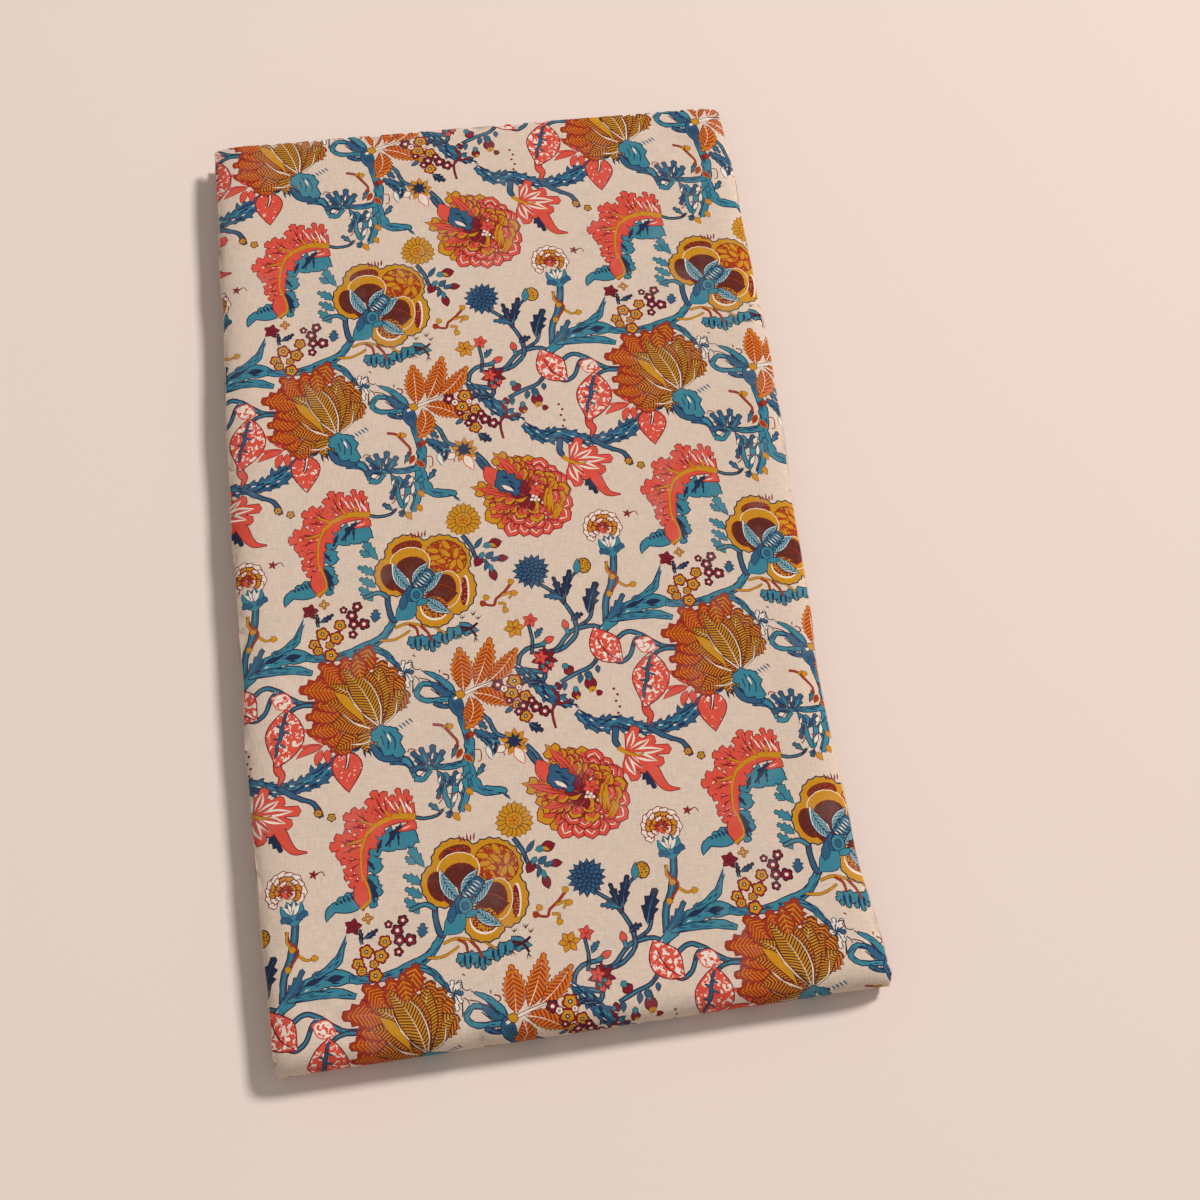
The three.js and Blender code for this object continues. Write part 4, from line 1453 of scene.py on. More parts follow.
@dataclass
class CutPrint:
    """One repeat of the print, cut along the edges of what shows of its shapes."""

    patches: list[Patch]
    wrap: Place
    merge: float = 0.0001
    straight: float = 0.0008

    def __post_init__(self) -> None:
        """Cuts the repeat, with the shapes that reach in from its neighbours."""
        wrap = np.array(self.wrap)
        half = wrap / 2
        corners = [Vector((x * half[0], y * half[1])) for x, y in ((-1, -1), (1, -1), (1, 1), (-1, 1))]
        points, edges, copies = corners, [(0, 1), (1, 2), (2, 3), (3, 0)], []
        for number, patch in enumerate(self.patches):
            low, high = patch.outline.min(axis=0), patch.outline.max(axis=0)
            for column in (-1, 0, 1):
                for row in (-1, 0, 1):
                    shift = np.array([column, row]) * wrap
                    if np.any(high + shift < -half) or np.any(low + shift > half):
                        continue
                    count, start = len(patch.outline), len(points)
                    edges += [(start + i, start + (i + 1) % count) for i in range(count)]
                    points += [Vector(place) for place in patch.outline + shift]
                    copies.append((number, shift))
        found, _, cut, _, _, _ = delaunay_2d_cdt(points, edges, [], 0, self.merge, False)
        self.points = np.array([tuple(point) for point in found])
        self.triangles = np.array(cut)
        middle = self.points[self.triangles].mean(axis=1)
        home = np.all(np.abs(middle) < half, axis=1)
        self.triangles, middle = self.triangles[home], middle[home]
        self.top = np.full(len(middle), -1)
        self.shift = np.zeros((len(middle), 2))
        for number, shift in copies:
            outline = self.patches[number].outline + shift
            low, high = outline.min(axis=0), outline.max(axis=0)
            near = np.flatnonzero(np.all((middle > low) & (middle < high), axis=1))
            covered = near[within(outline, middle[near])]
            self.top[covered] = number
            self.shift[covered] = shift
        self.numbers = {id(patch): number for number, patch in enumerate(self.patches)}
        self.edges = self.shown_edges()
        self.tree = BVHTree.FromPolygons([(x, y, 0.0) for x, y in self.points], self.triangles.tolist())

    def shown_edges(self) -> Points:
        """The edges between parts that look different, with straight stretches joined.

        Returns:
            Pairs of point numbers.
        """
        looks = np.array([self.look(number) for number in range(-1, len(self.patches))])[self.top + 1]
        sides = np.sort(self.triangles[:, [0, 1, 1, 2, 2, 0]].reshape(-1, 2), axis=1)
        edges, back = np.unique(sides, axis=0, return_inverse=True)
        back = back.ravel()
        order = np.argsort(back, kind="stable")
        face = (order // 3)
        first = np.searchsorted(back[order], np.arange(len(edges)))
        count = np.bincount(back)
        double = np.flatnonzero(count == 2)
        differs = looks[face[first[double]]] != looks[face[first[double] + 1]]
        near: dict[int, set[int]] = {}
        for a, b in edges[double[differs]]:
            near.setdefault(int(a), set()).add(int(b))
            near.setdefault(int(b), set()).add(int(a))
        for point, ends in list(near.items()):
            if len(ends) != 2:
                continue
            a, b = ends
            span = self.points[b] - self.points[a]
            offset = self.points[point] - self.points[a]
            length = math.hypot(*span)
            away = abs(span[0] * offset[1] - span[1] * offset[0]) / max(length, 1e-9)
            if away < self.straight and b not in near[a]:
                near[a].discard(point)
                near[b].discard(point)
                near[a].add(b)
                near[b].add(a)
                near[point] = set()
        return np.array([(a, b) for a, ends in near.items() for b in ends if a < b], int).reshape(-1, 2)

    def number(self, patch: Patch) -> int:
        """The number of a patch in the print."""
        return self.numbers[id(patch)]

    def look(self, number: int) -> int:
        """A number that is the same for patches that look alike."""
        if number < 0:
            return -1
        patch = self.patches[number]
        inks = list(Ink)
        return inks.index(patch.ink) if patch.figure is Figure.PLAIN else len(inks) + number

    def at(self, chart: Points) -> tuple[Points, Points]:
        """Finds what shows at some places.

        Args:
            chart: The places, in any repeat, one a row.

        Returns:
            The number of the patch at each place, or -1 for the ground, and where that copy
            of the patch lies.
        """
        wrap = np.array(self.wrap)
        cell = np.floor(chart / wrap + 0.5) * wrap
        home = chart - cell
        hits = np.array([self.tree.find_nearest((x, y, 0.0))[2] for x, y in home], int)
        return self.top[hits], cell + self.shift[hits]


@dataclass
class ClothFaces:
    """Triangles of one face of the cloth, over across and along in mm."""

    points: Points
    triangles: Points
    patch: Points
    cell: Points


@dataclass
class CrepePack:
    """The folded cloth as one closed sheet, with its print in the mesh's colours."""

    route: FoldedRoute = field(default_factory=FoldedRoute)
    repeat: Repeat = field(default_factory=Repeat)
    run_step: float = 10.0
    lip_step: float = 7.0
    half: float = 158.0

    def flat_y(self, along: Points) -> Points:
        """The flat print's own y at lengths along the cloth."""
        top_start = self.route.starts[2]
        return along - top_start + self.route.near

    def to_domain(self, cloth: Points) -> Points:
        """Turns flat cloth places into the across and along of the sheet."""
        y = np.clip(cloth[:, 1], self.route.near, self.route.far)
        left, right = self.route.sides(y)
        across = 2 * (cloth[:, 0] - left) / (right - left) - 1
        return np.stack([across * self.half, cloth[:, 1] - self.route.near + self.route.starts[2]], axis=1)

    def from_domain(self, domain: Points) -> Points:
        """Turns across and along places of the sheet into flat cloth places."""
        flat = self.flat_y(domain[:, 1])
        left, right = self.route.sides(np.clip(flat, self.route.near, self.route.far))
        return np.stack([left + (right - left) * (domain[:, 0] / self.half + 1) / 2, flat], axis=1)

    def stations(self) -> tuple[list[float], list[float]]:
        """Lengths along the cloth where its edges have a point, and where its faces have a row.

        Returns:
            The edge stations and the row stations.
        """
        edges, rows = [], []
        starts, legs = self.route.starts, self.route.legs
        for i, leg in enumerate(legs):
            if leg[0] == "turn":
                steps = max(6, math.ceil(leg[-1] / 2.0)) if i == 1 else (8 if leg[2] < 0 else 6)
                lengths = starts[i] + leg[-1] * np.arange(steps + 1) / steps
                edges += list(lengths)
                rows += list(lengths)
            else:
                step = self.run_step if i in (0, 2) else self.lip_step
                count = math.ceil(leg[-1] / step)
                lengths = starts[i] + leg[-1] * np.arange(count + 1) / count
                edges += list(lengths)
                rows += list(lengths if i == 2 else lengths[::5])
        return sorted(set(np.round(edges, 4))), sorted(set(np.round(rows, 4)))

    def face_points(self, fine: bool) -> list[Vector]:
        """Points that shape a face of the cloth inside its edges."""
        edges, rows = self.stations()
        total = self.route.total()
        top = (self.route.starts[1] - 1, self.route.starts[3] + 1)
        margins = (1.5, 3.5, 6, 9, 12.5, 17, 22)
        points = []
        for along in rows:
            if along <= 0 or along >= round(total, 4):
                continue
            rich = fine and top[0] <= along <= top[1]
            insets = margins if rich else (4, 10, 19)
            columns = [self.half - inset for inset in insets] + [inset - self.half for inset in insets]
            columns += list(np.arange(-126, 127, 12.6 if rich else 63))
            points += [Vector((column, along)) for column in columns]
        return points

    def printed_face(self, fine: CutPrint, coarse: CutPrint) -> ClothFaces:
        """Cuts the printed face into triangles along the edges of the print's shapes.

        Args:
            fine: The print where it shows.
            coarse: The print of the underside.

        Returns:
            The face, with the topmost patch on each triangle, or -1 for the ground.
        """
        total = self.route.total()
        stations, _ = self.stations()
        side = [Vector((self.half, s)) for s in stations]
        side += [Vector((-self.half, s)) for s in reversed(stations)]
        points = side + self.face_points(fine=True)
        edges: list[tuple[int, int]] = []
        low = self.route.starts[1] - 3
        high = self.route.starts[3] + 5
        for cut, start, end in ((coarse, 0.0, low), (fine, low, high)):
            corners = np.array([(c, s) for c in (-self.half, self.half) for s in (start, end)], float)
            chart = self.repeat.to_chart(self.from_domain(corners)) / np.array(cut.wrap)
            first, last = np.floor(chart.min(axis=0)) - 1, np.ceil(chart.max(axis=0)) + 1
            for column in np.arange(first[0], last[0] + 1):
                for row in np.arange(first[1], last[1] + 1):
                    shift = np.array([column, row]) * np.array(cut.wrap)
                    flat = self.to_domain(self.repeat.to_cloth(cut.points + shift))
                    middle = (flat[cut.edges[:, 0]] + flat[cut.edges[:, 1]]) / 2
                    near = (np.abs(flat[cut.edges]).min(axis=1)[:, 0] < self.half)
                    near &= (middle[:, 1] >= start) & (middle[:, 1] < end)
                    used = cut.edges[near]
                    numbers, back = np.unique(used, return_inverse=True)
                    edges += [tuple(pair) for pair in (back.reshape(-1, 2) + len(points)).tolist()]
                    points += [Vector(place) for place in flat[numbers]]
        log.info("print: %d points, %d edges", len(points), len(edges))
        outer = [list(range(len(side)))]
        found, _, triangles, _, _, _ = delaunay_2d_cdt(points, edges, outer, 1, 0.01, False)
        places = np.array([tuple(point) for point in found])
        triangles = np.array(triangles)
        middle = places[triangles].mean(axis=1)
        inside = (np.abs(middle[:, 0]) < self.half) & (middle[:, 1] > 0) & (middle[:, 1] < total)
        triangles, middle = triangles[inside], middle[inside]
        used, back = np.unique(triangles, return_inverse=True)
        triangles = back.reshape(-1, 3)
        places = places[used]
        chart = self.repeat.to_chart(self.from_domain(middle))
        patch, cell = np.full(len(triangles), -1), np.zeros((len(triangles), 2))
        for cut, chosen in ((coarse, middle[:, 1] < low),
                            (fine, (middle[:, 1] >= low) & (middle[:, 1] < high))):
            found, cell[chosen] = cut.at(chart[chosen])
            numbers = np.array([-1] + [fine.number(patch) for patch in cut.patches])
            patch[chosen] = numbers[found + 1]
        return ClothFaces(places, triangles, patch, cell)

    def border(self, face: ClothFaces) -> list[int]:
        """The points round a face's edge, in order.

        Args:
            face: A face of the cloth.

        Returns:
            Their numbers, with the face on their left.
        """
        after = {}
        pairs = set()
        for a, b, c in face.triangles:
            pairs.update(((a, b), (b, c), (c, a)))
        for a, b in pairs:
            if (b, a) not in pairs:
                after[a] = b
        start = next(iter(after))
        ring = [start]
        while after[ring[-1]] != start:
            ring.append(after[ring[-1]])
        self.straighten(face.points, np.array(ring))
        return ring

    def straighten(self, points: Points, ring: Points) -> None:
        """Puts a border's points exactly on the sheet's four sides, in order along them.

        Args:
            points: Across and along of the face's points, changed in place.
            ring: The border's point numbers, with the face on their left.
        """
        total, wide = self.route.total(), 2 * self.half
        corners = np.array([0, wide, wide + total, 2 * wide + total, 2 * wide + 2 * total])
        x, s = points[ring].T
        gaps = np.abs(np.stack([s, x - self.half, s - total, x + self.half]))
        side = np.argmin(gaps, axis=0)
        walked = corners[side] + np.choose(side, [x + self.half, s, self.half - x, total - s])
        first = int(np.argmin(walked))
        walked = np.roll(walked, -first)
        for i in range(1, len(walked)):
            walked[i] = max(walked[i], walked[i - 1] + 0.003)
        places = np.stack([np.interp(walked, corners,
                                     [-self.half, self.half, self.half, -self.half, -self.half]),
                           np.interp(walked, corners, [0, 0, total, total, 0])], axis=1)
        points[np.roll(ring, -first)] = places

    def build(self, patches: list[Patch], finish: "PrintedCrepe") -> bpy.types.Object:
        """Makes the cloth.

        Args:
            patches: The shapes of one repeat.
            finish: Its material.

        Returns:
            The finished piece.
        """
        wrap = (self.repeat.aspect, 1.0)
        fine = CutPrint(patches, wrap)
        large = [patch for patch in patches if not patch.rim and np.ptp(patch.outline, axis=0).max() > 0.08]
        coarse = CutPrint(large, wrap, straight=0.005)
        log.info("repeat: %d shapes, %d shown edges", len(patches), len(fine.edges))
        printed = self.printed_face(fine, coarse)
        ring = self.border(printed)
        edge = printed.points[ring]
        outer_count = len(printed.points)
        log.info("printed face: %d triangles, border %d", len(printed.triangles), len(ring))

        inner_points = [Vector(place) for place in edge] + self.face_points(fine=False)
        outer = [list(range(len(edge)))]
        found, _, cut, origin, _, _ = delaunay_2d_cdt(inner_points, [], outer, 1, 0.0, True)
        inner = np.array([tuple(point) for point in found])
        match = {source: number for number, sources in enumerate(origin) for source in sources}

        half_ply = self.route.ply / 2
        across, along = printed.points[:, 0] / self.half, printed.points[:, 1]
        outer_places = self.route.place(across, along, half_ply)
        inner_places = self.route.place(inner[:, 0] / self.half, inner[:, 1], -half_ply)
        lip_places = []
        on_side = np.abs(np.abs(edge[:, 0]) - self.half) < 0.01
        for angle in (60.0, 120.0):
            turn = math.radians(angle)
            beyond = np.where(on_side, half_ply * math.sin(turn), 0.0)
            lip_places.append(self.route.place(edge[:, 0] / self.half, edge[:, 1],
                                               half_ply * math.cos(turn), beyond))

        places = np.vstack([outer_places, inner_places, *lip_places]) * MM
        count = len(ring)
        inner_start = outer_count
        lip_start = outer_count + len(inner_places)
        rails = [
            np.array(ring),
            lip_start + np.arange(count),
            lip_start + count + np.arange(count),
            inner_start + np.array([match[i] for i in range(count)]),
        ]
        lips, lip_owner = [], []
        for near, far in zip(rails[:-1], rails[1:]):
            for i in range(count):
                j = (i + 1) % count
                lips += [(near[j], near[i], far[i]), (near[j], far[i], far[j])]
                lip_owner += [i, i]
        inside = np.array(cut)[:, ::-1] + inner_start
        triangles = np.vstack([printed.triangles, inside, np.array(lips)])
        mesh = bpy.data.meshes.new("crepe_cloth")
        mesh.from_pydata(places.tolist(), [], triangles.tolist())
        cloth = bpy.data.objects.new("crepe_cloth", mesh)
        bpy.context.scene.collection.objects.link(cloth)

        flat = np.vstack([printed.points, inner, edge, edge])
        part = np.concatenate([np.zeros(len(printed.triangles)), np.ones(len(inside)), np.full(len(lips), 2)])
        self.colour(mesh, triangles, flat, part, printed, fine, np.array(lip_owner), edge)
        self.lay_maps(mesh, triangles, flat, part, np.array(lips), rails)
        mesh.polygons.foreach_set("use_smooth", np.ones(len(triangles), bool))
        mesh.update()
        mesh.materials.append(finish.material())
        log.info("crepe_cloth: %d triangles, %.3f m of cloth", len(triangles), self.route.total() * MM)
        return cloth

    def colour(self, mesh: bpy.types.Mesh, triangles: Points, flat: Points, part: Points, printed: ClothFaces,
               fine: CutPrint, lip_owner: Points, edge: Points) -> None:
        """Writes the print's inks and figures on the mesh's corners.

        Args:
            mesh: The cloth.
            triangles: Its triangles.
            flat: Across and along of its points.
            part: 0 for the printed face, 1 for the reverse and 2 for the lips.
            printed: The printed face.
            fine: The print.
            lip_owner: The border point that each lip triangle starts from.
            edge: Across and along of the border.
        """
        count = len(triangles)
        inks = np.tile(np.array(Ink.GROUND.linear()), (count, 1))
        inks[part == 1] = Ink.REVERSE.linear()
        lines = inks.copy()
        figure = np.zeros((count, 3, 3))
        for number, patch in enumerate(fine.patches):
            chosen = np.flatnonzero(printed.patch == number)
            if not len(chosen):
                continue
            inks[chosen] = patch.ink.linear()
            lines[chosen] = patch.line_ink.linear()
            figure[chosen, :, 1] = patch.share
            figure[chosen, :, 2] = patch.figure.value
            if patch.figure is Figure.STRIPES:
                corners = flat[triangles[chosen].ravel()]
                chart = self.repeat.to_chart(self.from_domain(corners))
                chart = chart - np.repeat(printed.cell[chosen], 3, axis=0)
                figure[chosen, :, 0] = patch.phase(chart).reshape(-1, 3)
        shown, _ = fine.at(self.repeat.to_chart(self.from_domain((edge + np.roll(edge, -1, axis=0)) / 2)))
        palette = np.array([Ink.GROUND.linear()] + [patch.ink.linear() for patch in fine.patches])
        inks[part == 2] = (palette[shown + 1] * 0.3 + palette[0] * 0.7)[lip_owner]
        for name, values in (("ink", inks), ("line_ink", lines)):
            layer = mesh.color_attributes.new(name, "FLOAT_COLOR", "CORNER")
            layer.data.foreach_set("color", np.repeat(values, 3, axis=0).astype(np.float32).ravel())
        layer = mesh.attributes.new("figure", "FLOAT_VECTOR", "CORNER")
        layer.data.foreach_set("vector", figure.astype(np.float32).ravel())

    def lay_maps(self, mesh: bpy.types.Mesh, triangles: Points, flat: Points, part: Points, lips: Points,
                 rails: list[Points]) -> None:
        """Lays the cloth's own coordinates and the map that its finish is baked on.

        Args:
            mesh: The cloth.
            triangles: Its triangles.
            flat: Across and along of its points.
            part: 0 for the printed face, 1 for the reverse and 2 for the lips.
            lips: The lip triangles. Not used.
            rails: The point numbers along each ring of the lips.
        """
        corners = triangles.ravel()
        weave = mesh.uv_layers.new(name="cloth")
        weave.data.foreach_set("uv", (flat[corners] * MM).astype(np.float32).ravel())

        total = self.route.total()
        top_low, top_high = self.route.starts[1], self.route.starts[3]
        u = flat[:, 0] / (2 * self.half) + 0.5
        s = flat[:, 1]
        upper = np.stack([0.005 + 0.615 * u, 0.005 + 0.99 * (s - top_low) / (top_high - top_low)], axis=1)
        under = np.stack([0.64 + 0.30 * u, 0.005 + 0.44 * s / top_low], axis=1)
        inner = np.stack([0.64 + 0.06 * u, 0.46 + 0.53 * (s - top_high) / (total - top_high)], axis=1)
        reverse = np.stack([0.72 + 0.04 * u, 0.46 + 0.53 * s / total], axis=1)
        middle = s[triangles].mean(axis=1)
        baked = np.zeros((len(triangles), 3, 2))
        for chosen, source in (
            ((part == 0) & (middle >= top_low) & (middle <= top_high), upper),
            ((part == 0) & (middle < top_low), under),
            ((part == 0) & (middle > top_high), inner),
            (part == 1, reverse),
        ):
            baked[chosen] = source[triangles[chosen]]
        depth = np.zeros(len(flat))
        for step, rail in enumerate(rails):
            depth[rail] = step / (len(rails) - 1)
        pieces = 40.0
        strip = np.floor(middle / total * pieces * 0.999)
        lip = part == 2
        share = s[triangles[lip]] / total * pieces - strip[lip][:, None]
        right = (flat[triangles[lip][:, 0], 0] > 0)[:, None]
        row = (strip[lip][:, None] + depth[triangles[lip]] * 0.7) / pieces
        baked[lip] = np.stack([np.where(right, 0.89, 0.78) + 0.10 * share, 0.46 + 0.53 * row], axis=2)
        bake = mesh.uv_layers.new(name="OFBake")
        bake.data.foreach_set("uv", np.clip(baked, 0, 1).astype(np.float32).ravel())
        mesh.uv_layers.active = weave
        weave.active_render = True


class Wiring:
    """Adds and joins the nodes of one tree."""

    def __init__(self, tree: bpy.types.NodeTree) -> None:
        """Starts on a tree.

        Args:
            tree: The tree that the nodes go in.
        """
        self.tree = tree

    def node(self, kind: str, inputs: dict | None = None, **settings: object) -> bpy.types.Node:
        """Adds a node.

        Args:
            kind: Blender's name for its type, without the Shader prefix's Node part.
            inputs: What each socket gets, a value or another node's output.
            settings: The node's own settings.

        Returns:
            The node.
        """
        made = self.tree.nodes.new(kind)
        for name, value in settings.items():
            setattr(made, name, value)
        for socket, value in (inputs or {}).items():
            if isinstance(value, bpy.types.NodeSocket):
                self.tree.links.new(value, made.inputs[socket])
            else:
                made.inputs[socket].default_value = value
        return made

    def math(self, operation: str, *values: object) -> bpy.types.NodeSocket:
        """Adds a math node and gives back its result."""
        return self.node("ShaderNodeMath", dict(enumerate(values)), operation=operation).outputs[0]

    def blend(self, share: object, first: object, second: object, mode: str = "MIX") -> bpy.types.NodeSocket:
        """Adds a colour mix and gives back its result."""
        mix = self.node("ShaderNodeMix", {0: share, 6: first, 7: second}, data_type="RGBA", blend_type=mode)
        return mix.outputs[2]


def new_group(name: str, inputs: dict[str, str],
              outputs: dict[str, str]) -> tuple[bpy.types.NodeTree, Wiring, dict]:
    """Starts a shader node group.

    Args:
        name: Its name.
        inputs: The socket type of each input.
        outputs: The socket type of each output.

    Returns:
        The group, its wiring and the sockets of its inputs by name.
    """
    group = bpy.data.node_groups.new(name, "ShaderNodeTree")
    for direction, sockets in (("INPUT", inputs), ("OUTPUT", outputs)):
        for label, kind in sockets.items():
            group.interface.new_socket(name=label, in_out=direction, socket_type=kind)
    wiring = Wiring(group)
    entry = wiring.node("NodeGroupInput")
    return group, wiring, {label: entry.outputs[label] for label in inputs}


def print_figures() -> bpy.types.NodeTree:
    """Draws stripes, marbling or dots inside the printed shapes."""
    group, wiring, given = new_group(
        "print_figures",
        {"Ink": "NodeSocketColor", "Line ink": "NodeSocketColor", "Figure": "NodeSocketVector",
         "Cloth": "NodeSocketVector"},
        {"Color": "NodeSocketColor"},
    )
    parts = wiring.node("ShaderNodeSeparateXYZ", {0: given["Figure"]}).outputs
    phase, share, style = parts[0], parts[1], parts[2]
    stripe = wiring.math("LESS_THAN", wiring.math("FRACT", phase), share)
    noise = wiring.node("ShaderNodeTexNoise", {"Vector": given["Cloth"], "Scale": 400.0, "Detail": 2.0,
                                               "Distortion": 0.8}).outputs["Fac"]
    level = wiring.math("MULTIPLY_ADD", share, 0.42, 0.29)
    marble = wiring.math("LESS_THAN", noise, level)
    dots = wiring.node("ShaderNodeTexVoronoi", {"Vector": given["Cloth"], "Scale": 700.0, "Randomness": 0.45})
    dot = wiring.math("LESS_THAN", dots.outputs["Distance"], share)
    mask = wiring.math("MULTIPLY", stripe, wiring.math("COMPARE", style, 1.0, 0.1))
    mask = wiring.math("MULTIPLY_ADD", marble, wiring.math("COMPARE", style, 2.0, 0.1), mask)
    mask = wiring.math("MULTIPLY_ADD", dot, wiring.math("COMPARE", style, 3.0, 0.1), mask)
    wiring.node("NodeGroupOutput", {"Color": wiring.blend(mask, given["Ink"], given["Line ink"])})
    return group


def crepe_weave() -> bpy.types.NodeTree:
    """Plain weave of uneven, tightly twisted threads, as a shade and a height."""
    group, wiring, given = new_group(
        "crepe_weave",
        {"Cloth": "NodeSocketVector", "Pitch": "NodeSocketFloat", "Slub": "NodeSocketFloat"},
        {"Shade": "NodeSocketFloat", "Height": "NodeSocketFloat"},
    )
    wobble = wiring.node("ShaderNodeTexNoise", {"Vector": given["Cloth"], "Scale": 90.0, "Detail": 1.0})
    drift = wiring.node("ShaderNodeVectorMath", {0: wobble.outputs["Color"], "Scale": 0.0009},
                        operation="SCALE")
    cloth = wiring.node("ShaderNodeVectorMath", {0: given["Cloth"], 1: drift.outputs[0]},
                        operation="ADD").outputs[0]
    axes = wiring.node("ShaderNodeSeparateXYZ", {0: cloth}).outputs
    turn = wiring.math("DIVIDE", 2 * math.pi, given["Pitch"])
    warp = wiring.math("SINE", wiring.math("MULTIPLY", axes[0], turn))
    weft = wiring.math("SINE", wiring.math("MULTIPLY", axes[1], turn))
    plain = wiring.math("MULTIPLY", warp, weft)
    streaks = []
    for stretch in ((2600.0, 260.0, 1.0), (260.0, 2600.0, 1.0)):
        scaled = wiring.node("ShaderNodeVectorMath", {0: cloth, 1: stretch}, operation="MULTIPLY").outputs[0]
        noise = wiring.node("ShaderNodeTexNoise", {"Vector": scaled, "Scale": 0.55, "Detail": 2.0})
        streaks.append(wiring.math("SUBTRACT", noise.outputs["Fac"], 0.5))
    slubs = wiring.math("MULTIPLY", wiring.math("ADD", streaks[0], streaks[1]), given["Slub"])
    shade = wiring.math("ADD", wiring.math("MULTIPLY", plain, 0.025), wiring.math("MULTIPLY", slubs, 0.34))
    height = wiring.math("ADD", wiring.math("MULTIPLY", plain, 0.5), wiring.math("MULTIPLY", slubs, 1.6))
    wiring.node("NodeGroupOutput", {"Shade": wiring.math("ADD", shade, 1.0), "Height": height})
    return group


@dataclass(frozen=True)
class PrintedCrepe:
    """The cloth's finish: matte crepe with the inks soaked into its threads."""

    pitch: float = 0.00062
    slub: float = 1.0
    roughness: float = 0.9
    relief: float = 0.00012

    def material(self) -> bpy.types.Material:
        """Builds the material, which reads the cloth's own map and colours."""
        made = bpy.data.materials.new("printed_crepe")
        made.use_nodes = True
        wiring = Wiring(made.node_tree)
        made.node_tree.nodes.clear()
        cloth = wiring.node("ShaderNodeUVMap", uv_map="cloth").outputs[0]
        ink = wiring.node("ShaderNodeAttribute", attribute_name="ink").outputs["Color"]
        line_ink = wiring.node("ShaderNodeAttribute", attribute_name="line_ink").outputs["Color"]
        figure = wiring.node("ShaderNodeAttribute", attribute_name="figure").outputs["Vector"]
        drawn = wiring.node("ShaderNodeGroup", node_tree=print_figures())
        weave = wiring.node("ShaderNodeGroup", node_tree=crepe_weave())
        for socket, source in (("Ink", ink), ("Line ink", line_ink), ("Figure", figure), ("Cloth", cloth)):
            made.node_tree.links.new(source, drawn.inputs[socket])
        made.node_tree.links.new(cloth, weave.inputs["Cloth"])
        weave.inputs["Pitch"].default_value = self.pitch
        weave.inputs["Slub"].default_value = self.slub
        blots = wiring.node("ShaderNodeTexNoise", {"Vector": cloth, "Scale": 42.0, "Detail": 3.0})
        limits = {"From Min": 0.52, "From Max": 0.7, "To Min": 0.0, "To Max": 0.10}
        through = wiring.node("ShaderNodeMapRange", {"Value": blots.outputs["Fac"]} | limits).outputs[0]
        shown = wiring.blend(through, drawn.outputs["Color"], (0.42, 0.44, 0.42, 1.0))
        shade = wiring.node("ShaderNodeCombineColor", {0: weave.outputs["Shade"], 1: weave.outputs["Shade"],
                                                       2: weave.outputs["Shade"]})
        coloured = wiring.blend(1.0, shown, shade.outputs[0], "MULTIPLY")
        bump = wiring.node("ShaderNodeBump", {"Strength": 0.55, "Distance": self.relief,
                                              "Height": weave.outputs["Height"]})
        surface = wiring.node("ShaderNodeBsdfPrincipled", {
            "Base Color": coloured, "Roughness": self.roughness, "Specular IOR Level": 0.12,
            "Sheen Weight": 0.03, "Sheen Roughness": 0.5, "Normal": bump.outputs[0]})
        wiring.node("ShaderNodeOutputMaterial", {"Surface": surface.outputs[0]})
        return made


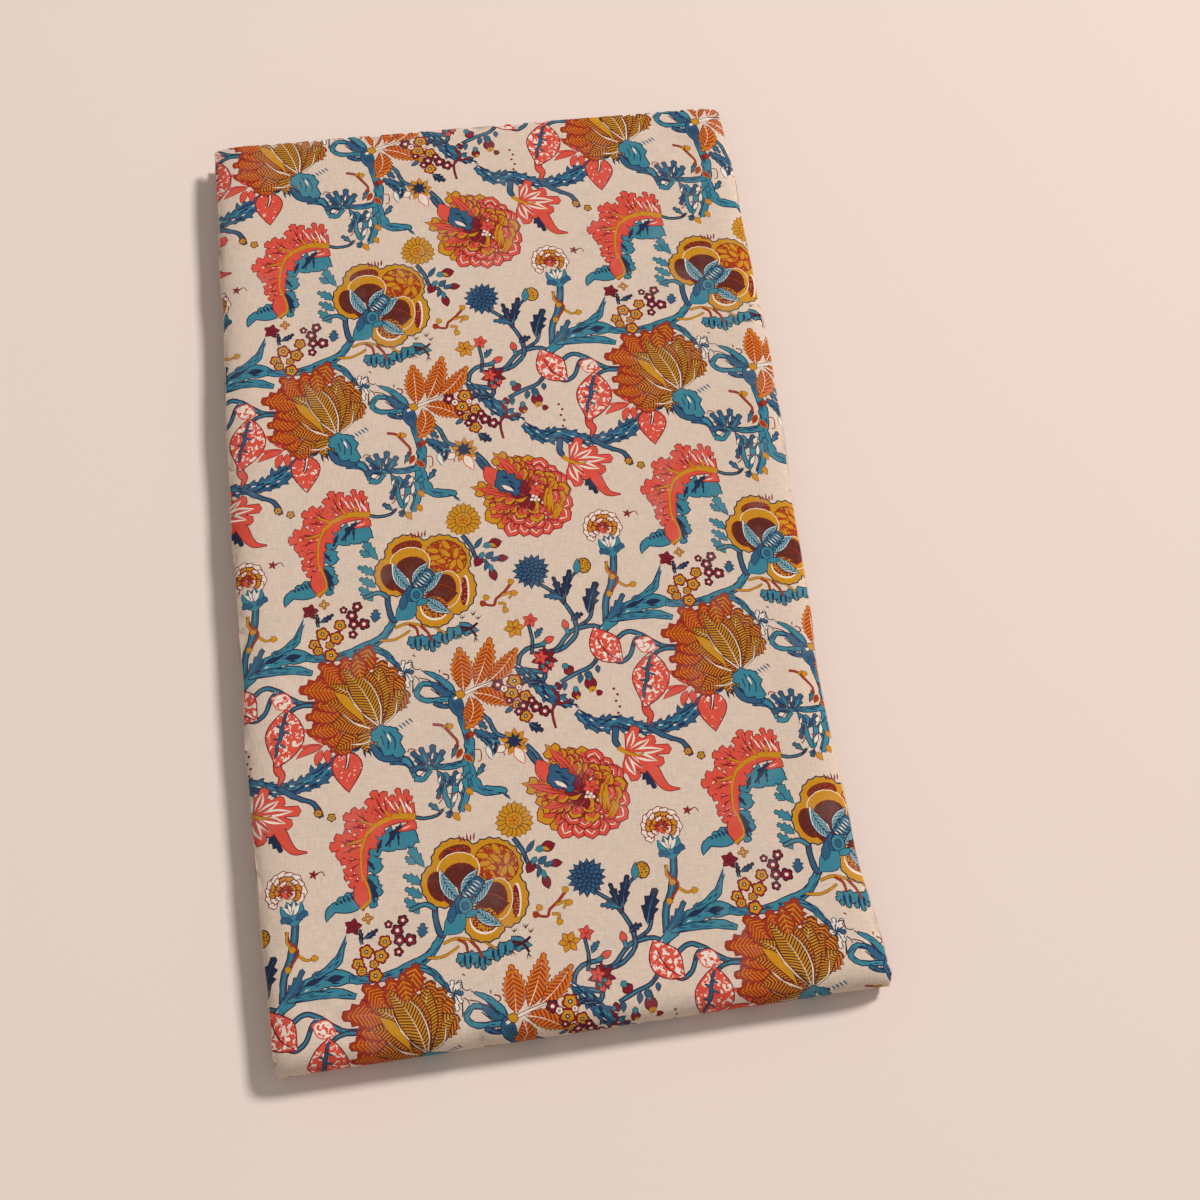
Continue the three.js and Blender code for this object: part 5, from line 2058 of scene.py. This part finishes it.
@dataclass
class Studio:
    """A pale floor, soft light from the upper right, and the camera."""

    camera_place: tuple[float, float, float] = (-0.0949, -0.4361, 1.0352)
    camera_turn_deg: tuple[float, float, float] = (21.944, -4.219, -8.161)
    view_deg: float = 33.862
    floor_size: float = 6.0
    floor_colour: tuple[float, float, float] = (0.80, 0.655, 0.575)

    def build(self) -> None:
        """Makes the whole setting."""
        self.make_camera()
        self.make_floor()
        self.make_lights()
        bpy.context.scene.view_settings.view_transform = "Standard"

    def make_camera(self) -> None:
        """Places the camera where the photograph was taken from."""
        lens = bpy.data.cameras.new("camera")
        lens.sensor_fit = "HORIZONTAL"
        lens.angle = math.radians(self.view_deg)
        lens.clip_start = 0.01
        camera = bpy.data.objects.new("camera", lens)
        camera.location = self.camera_place
        camera.rotation_euler = Euler([math.radians(turn) for turn in self.camera_turn_deg], "XYZ")
        bpy.context.scene.collection.objects.link(camera)
        bpy.context.scene.camera = camera

    def make_floor(self) -> None:
        """Lays a plain pale floor."""
        bpy.ops.object.select_all(action="DESELECT")
        bpy.ops.mesh.primitive_plane_add(size=self.floor_size, location=(0, 0, 0))
        floor = bpy.context.active_object
        floor.name = "floor"
        made = bpy.data.materials.new("pale_floor")
        made.use_nodes = True
        wiring = Wiring(made.node_tree)
        surface = made.node_tree.nodes["Principled BSDF"]
        place = wiring.node("ShaderNodeTexCoord").outputs["Object"]
        noise = wiring.node("ShaderNodeTexNoise", {"Vector": place, "Scale": 3.0, "Detail": 4.0})
        limits = {"Value": noise.outputs["Fac"], "To Min": 0.0, "To Max": 0.06}
        shade = wiring.node("ShaderNodeMapRange", limits).outputs[0]
        tint = wiring.blend(shade, (*self.floor_colour, 1.0), (0.70, 0.56, 0.49, 1.0))
        made.node_tree.links.new(tint, surface.inputs["Base Color"])
        surface.inputs["Roughness"].default_value = 0.85
        surface.inputs["Specular IOR Level"].default_value = 0.2
        floor.data.materials.append(made)

    def make_lights(self) -> None:
        """Adds one large soft light at the upper right, and an even glow all round."""
        for name, place, size, power in (
            ("key_light", (4.6, 3.0, 5.2), 1.5, 520.0),
            ("fill_light", (-1.2, -1.0, 1.9), 1.6, 4.0),
        ):
            lamp = bpy.data.lights.new(name, "AREA")
            lamp.shape = "DISK"
            lamp.size = size
            lamp.energy = power
            light = bpy.data.objects.new(name, lamp)
            light.location = place
            light.rotation_euler = (-Vector(place)).to_track_quat("-Z", "Y").to_euler()
            bpy.context.scene.collection.objects.link(light)
        world = bpy.data.worlds.new("studio")
        world.use_nodes = True
        background = world.node_tree.nodes["Background"]
        background.inputs["Color"].default_value = (1.0, 0.99, 0.98, 1.0)
        background.inputs["Strength"].default_value = 0.33
        bpy.context.scene.world = world


def main() -> None:
    logging.basicConfig(level=logging.INFO, format="%(name)s: %(message)s")
    Studio().build()
    pack = CrepePack()
    patches = TrailingFlowers().draw()
    cloth = pack.build(patches, PrintedCrepe())
    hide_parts("folded_cloth")
    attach(cloth, "root")
    pack.route.total() * MM


if __name__ == "__main__":
    main()
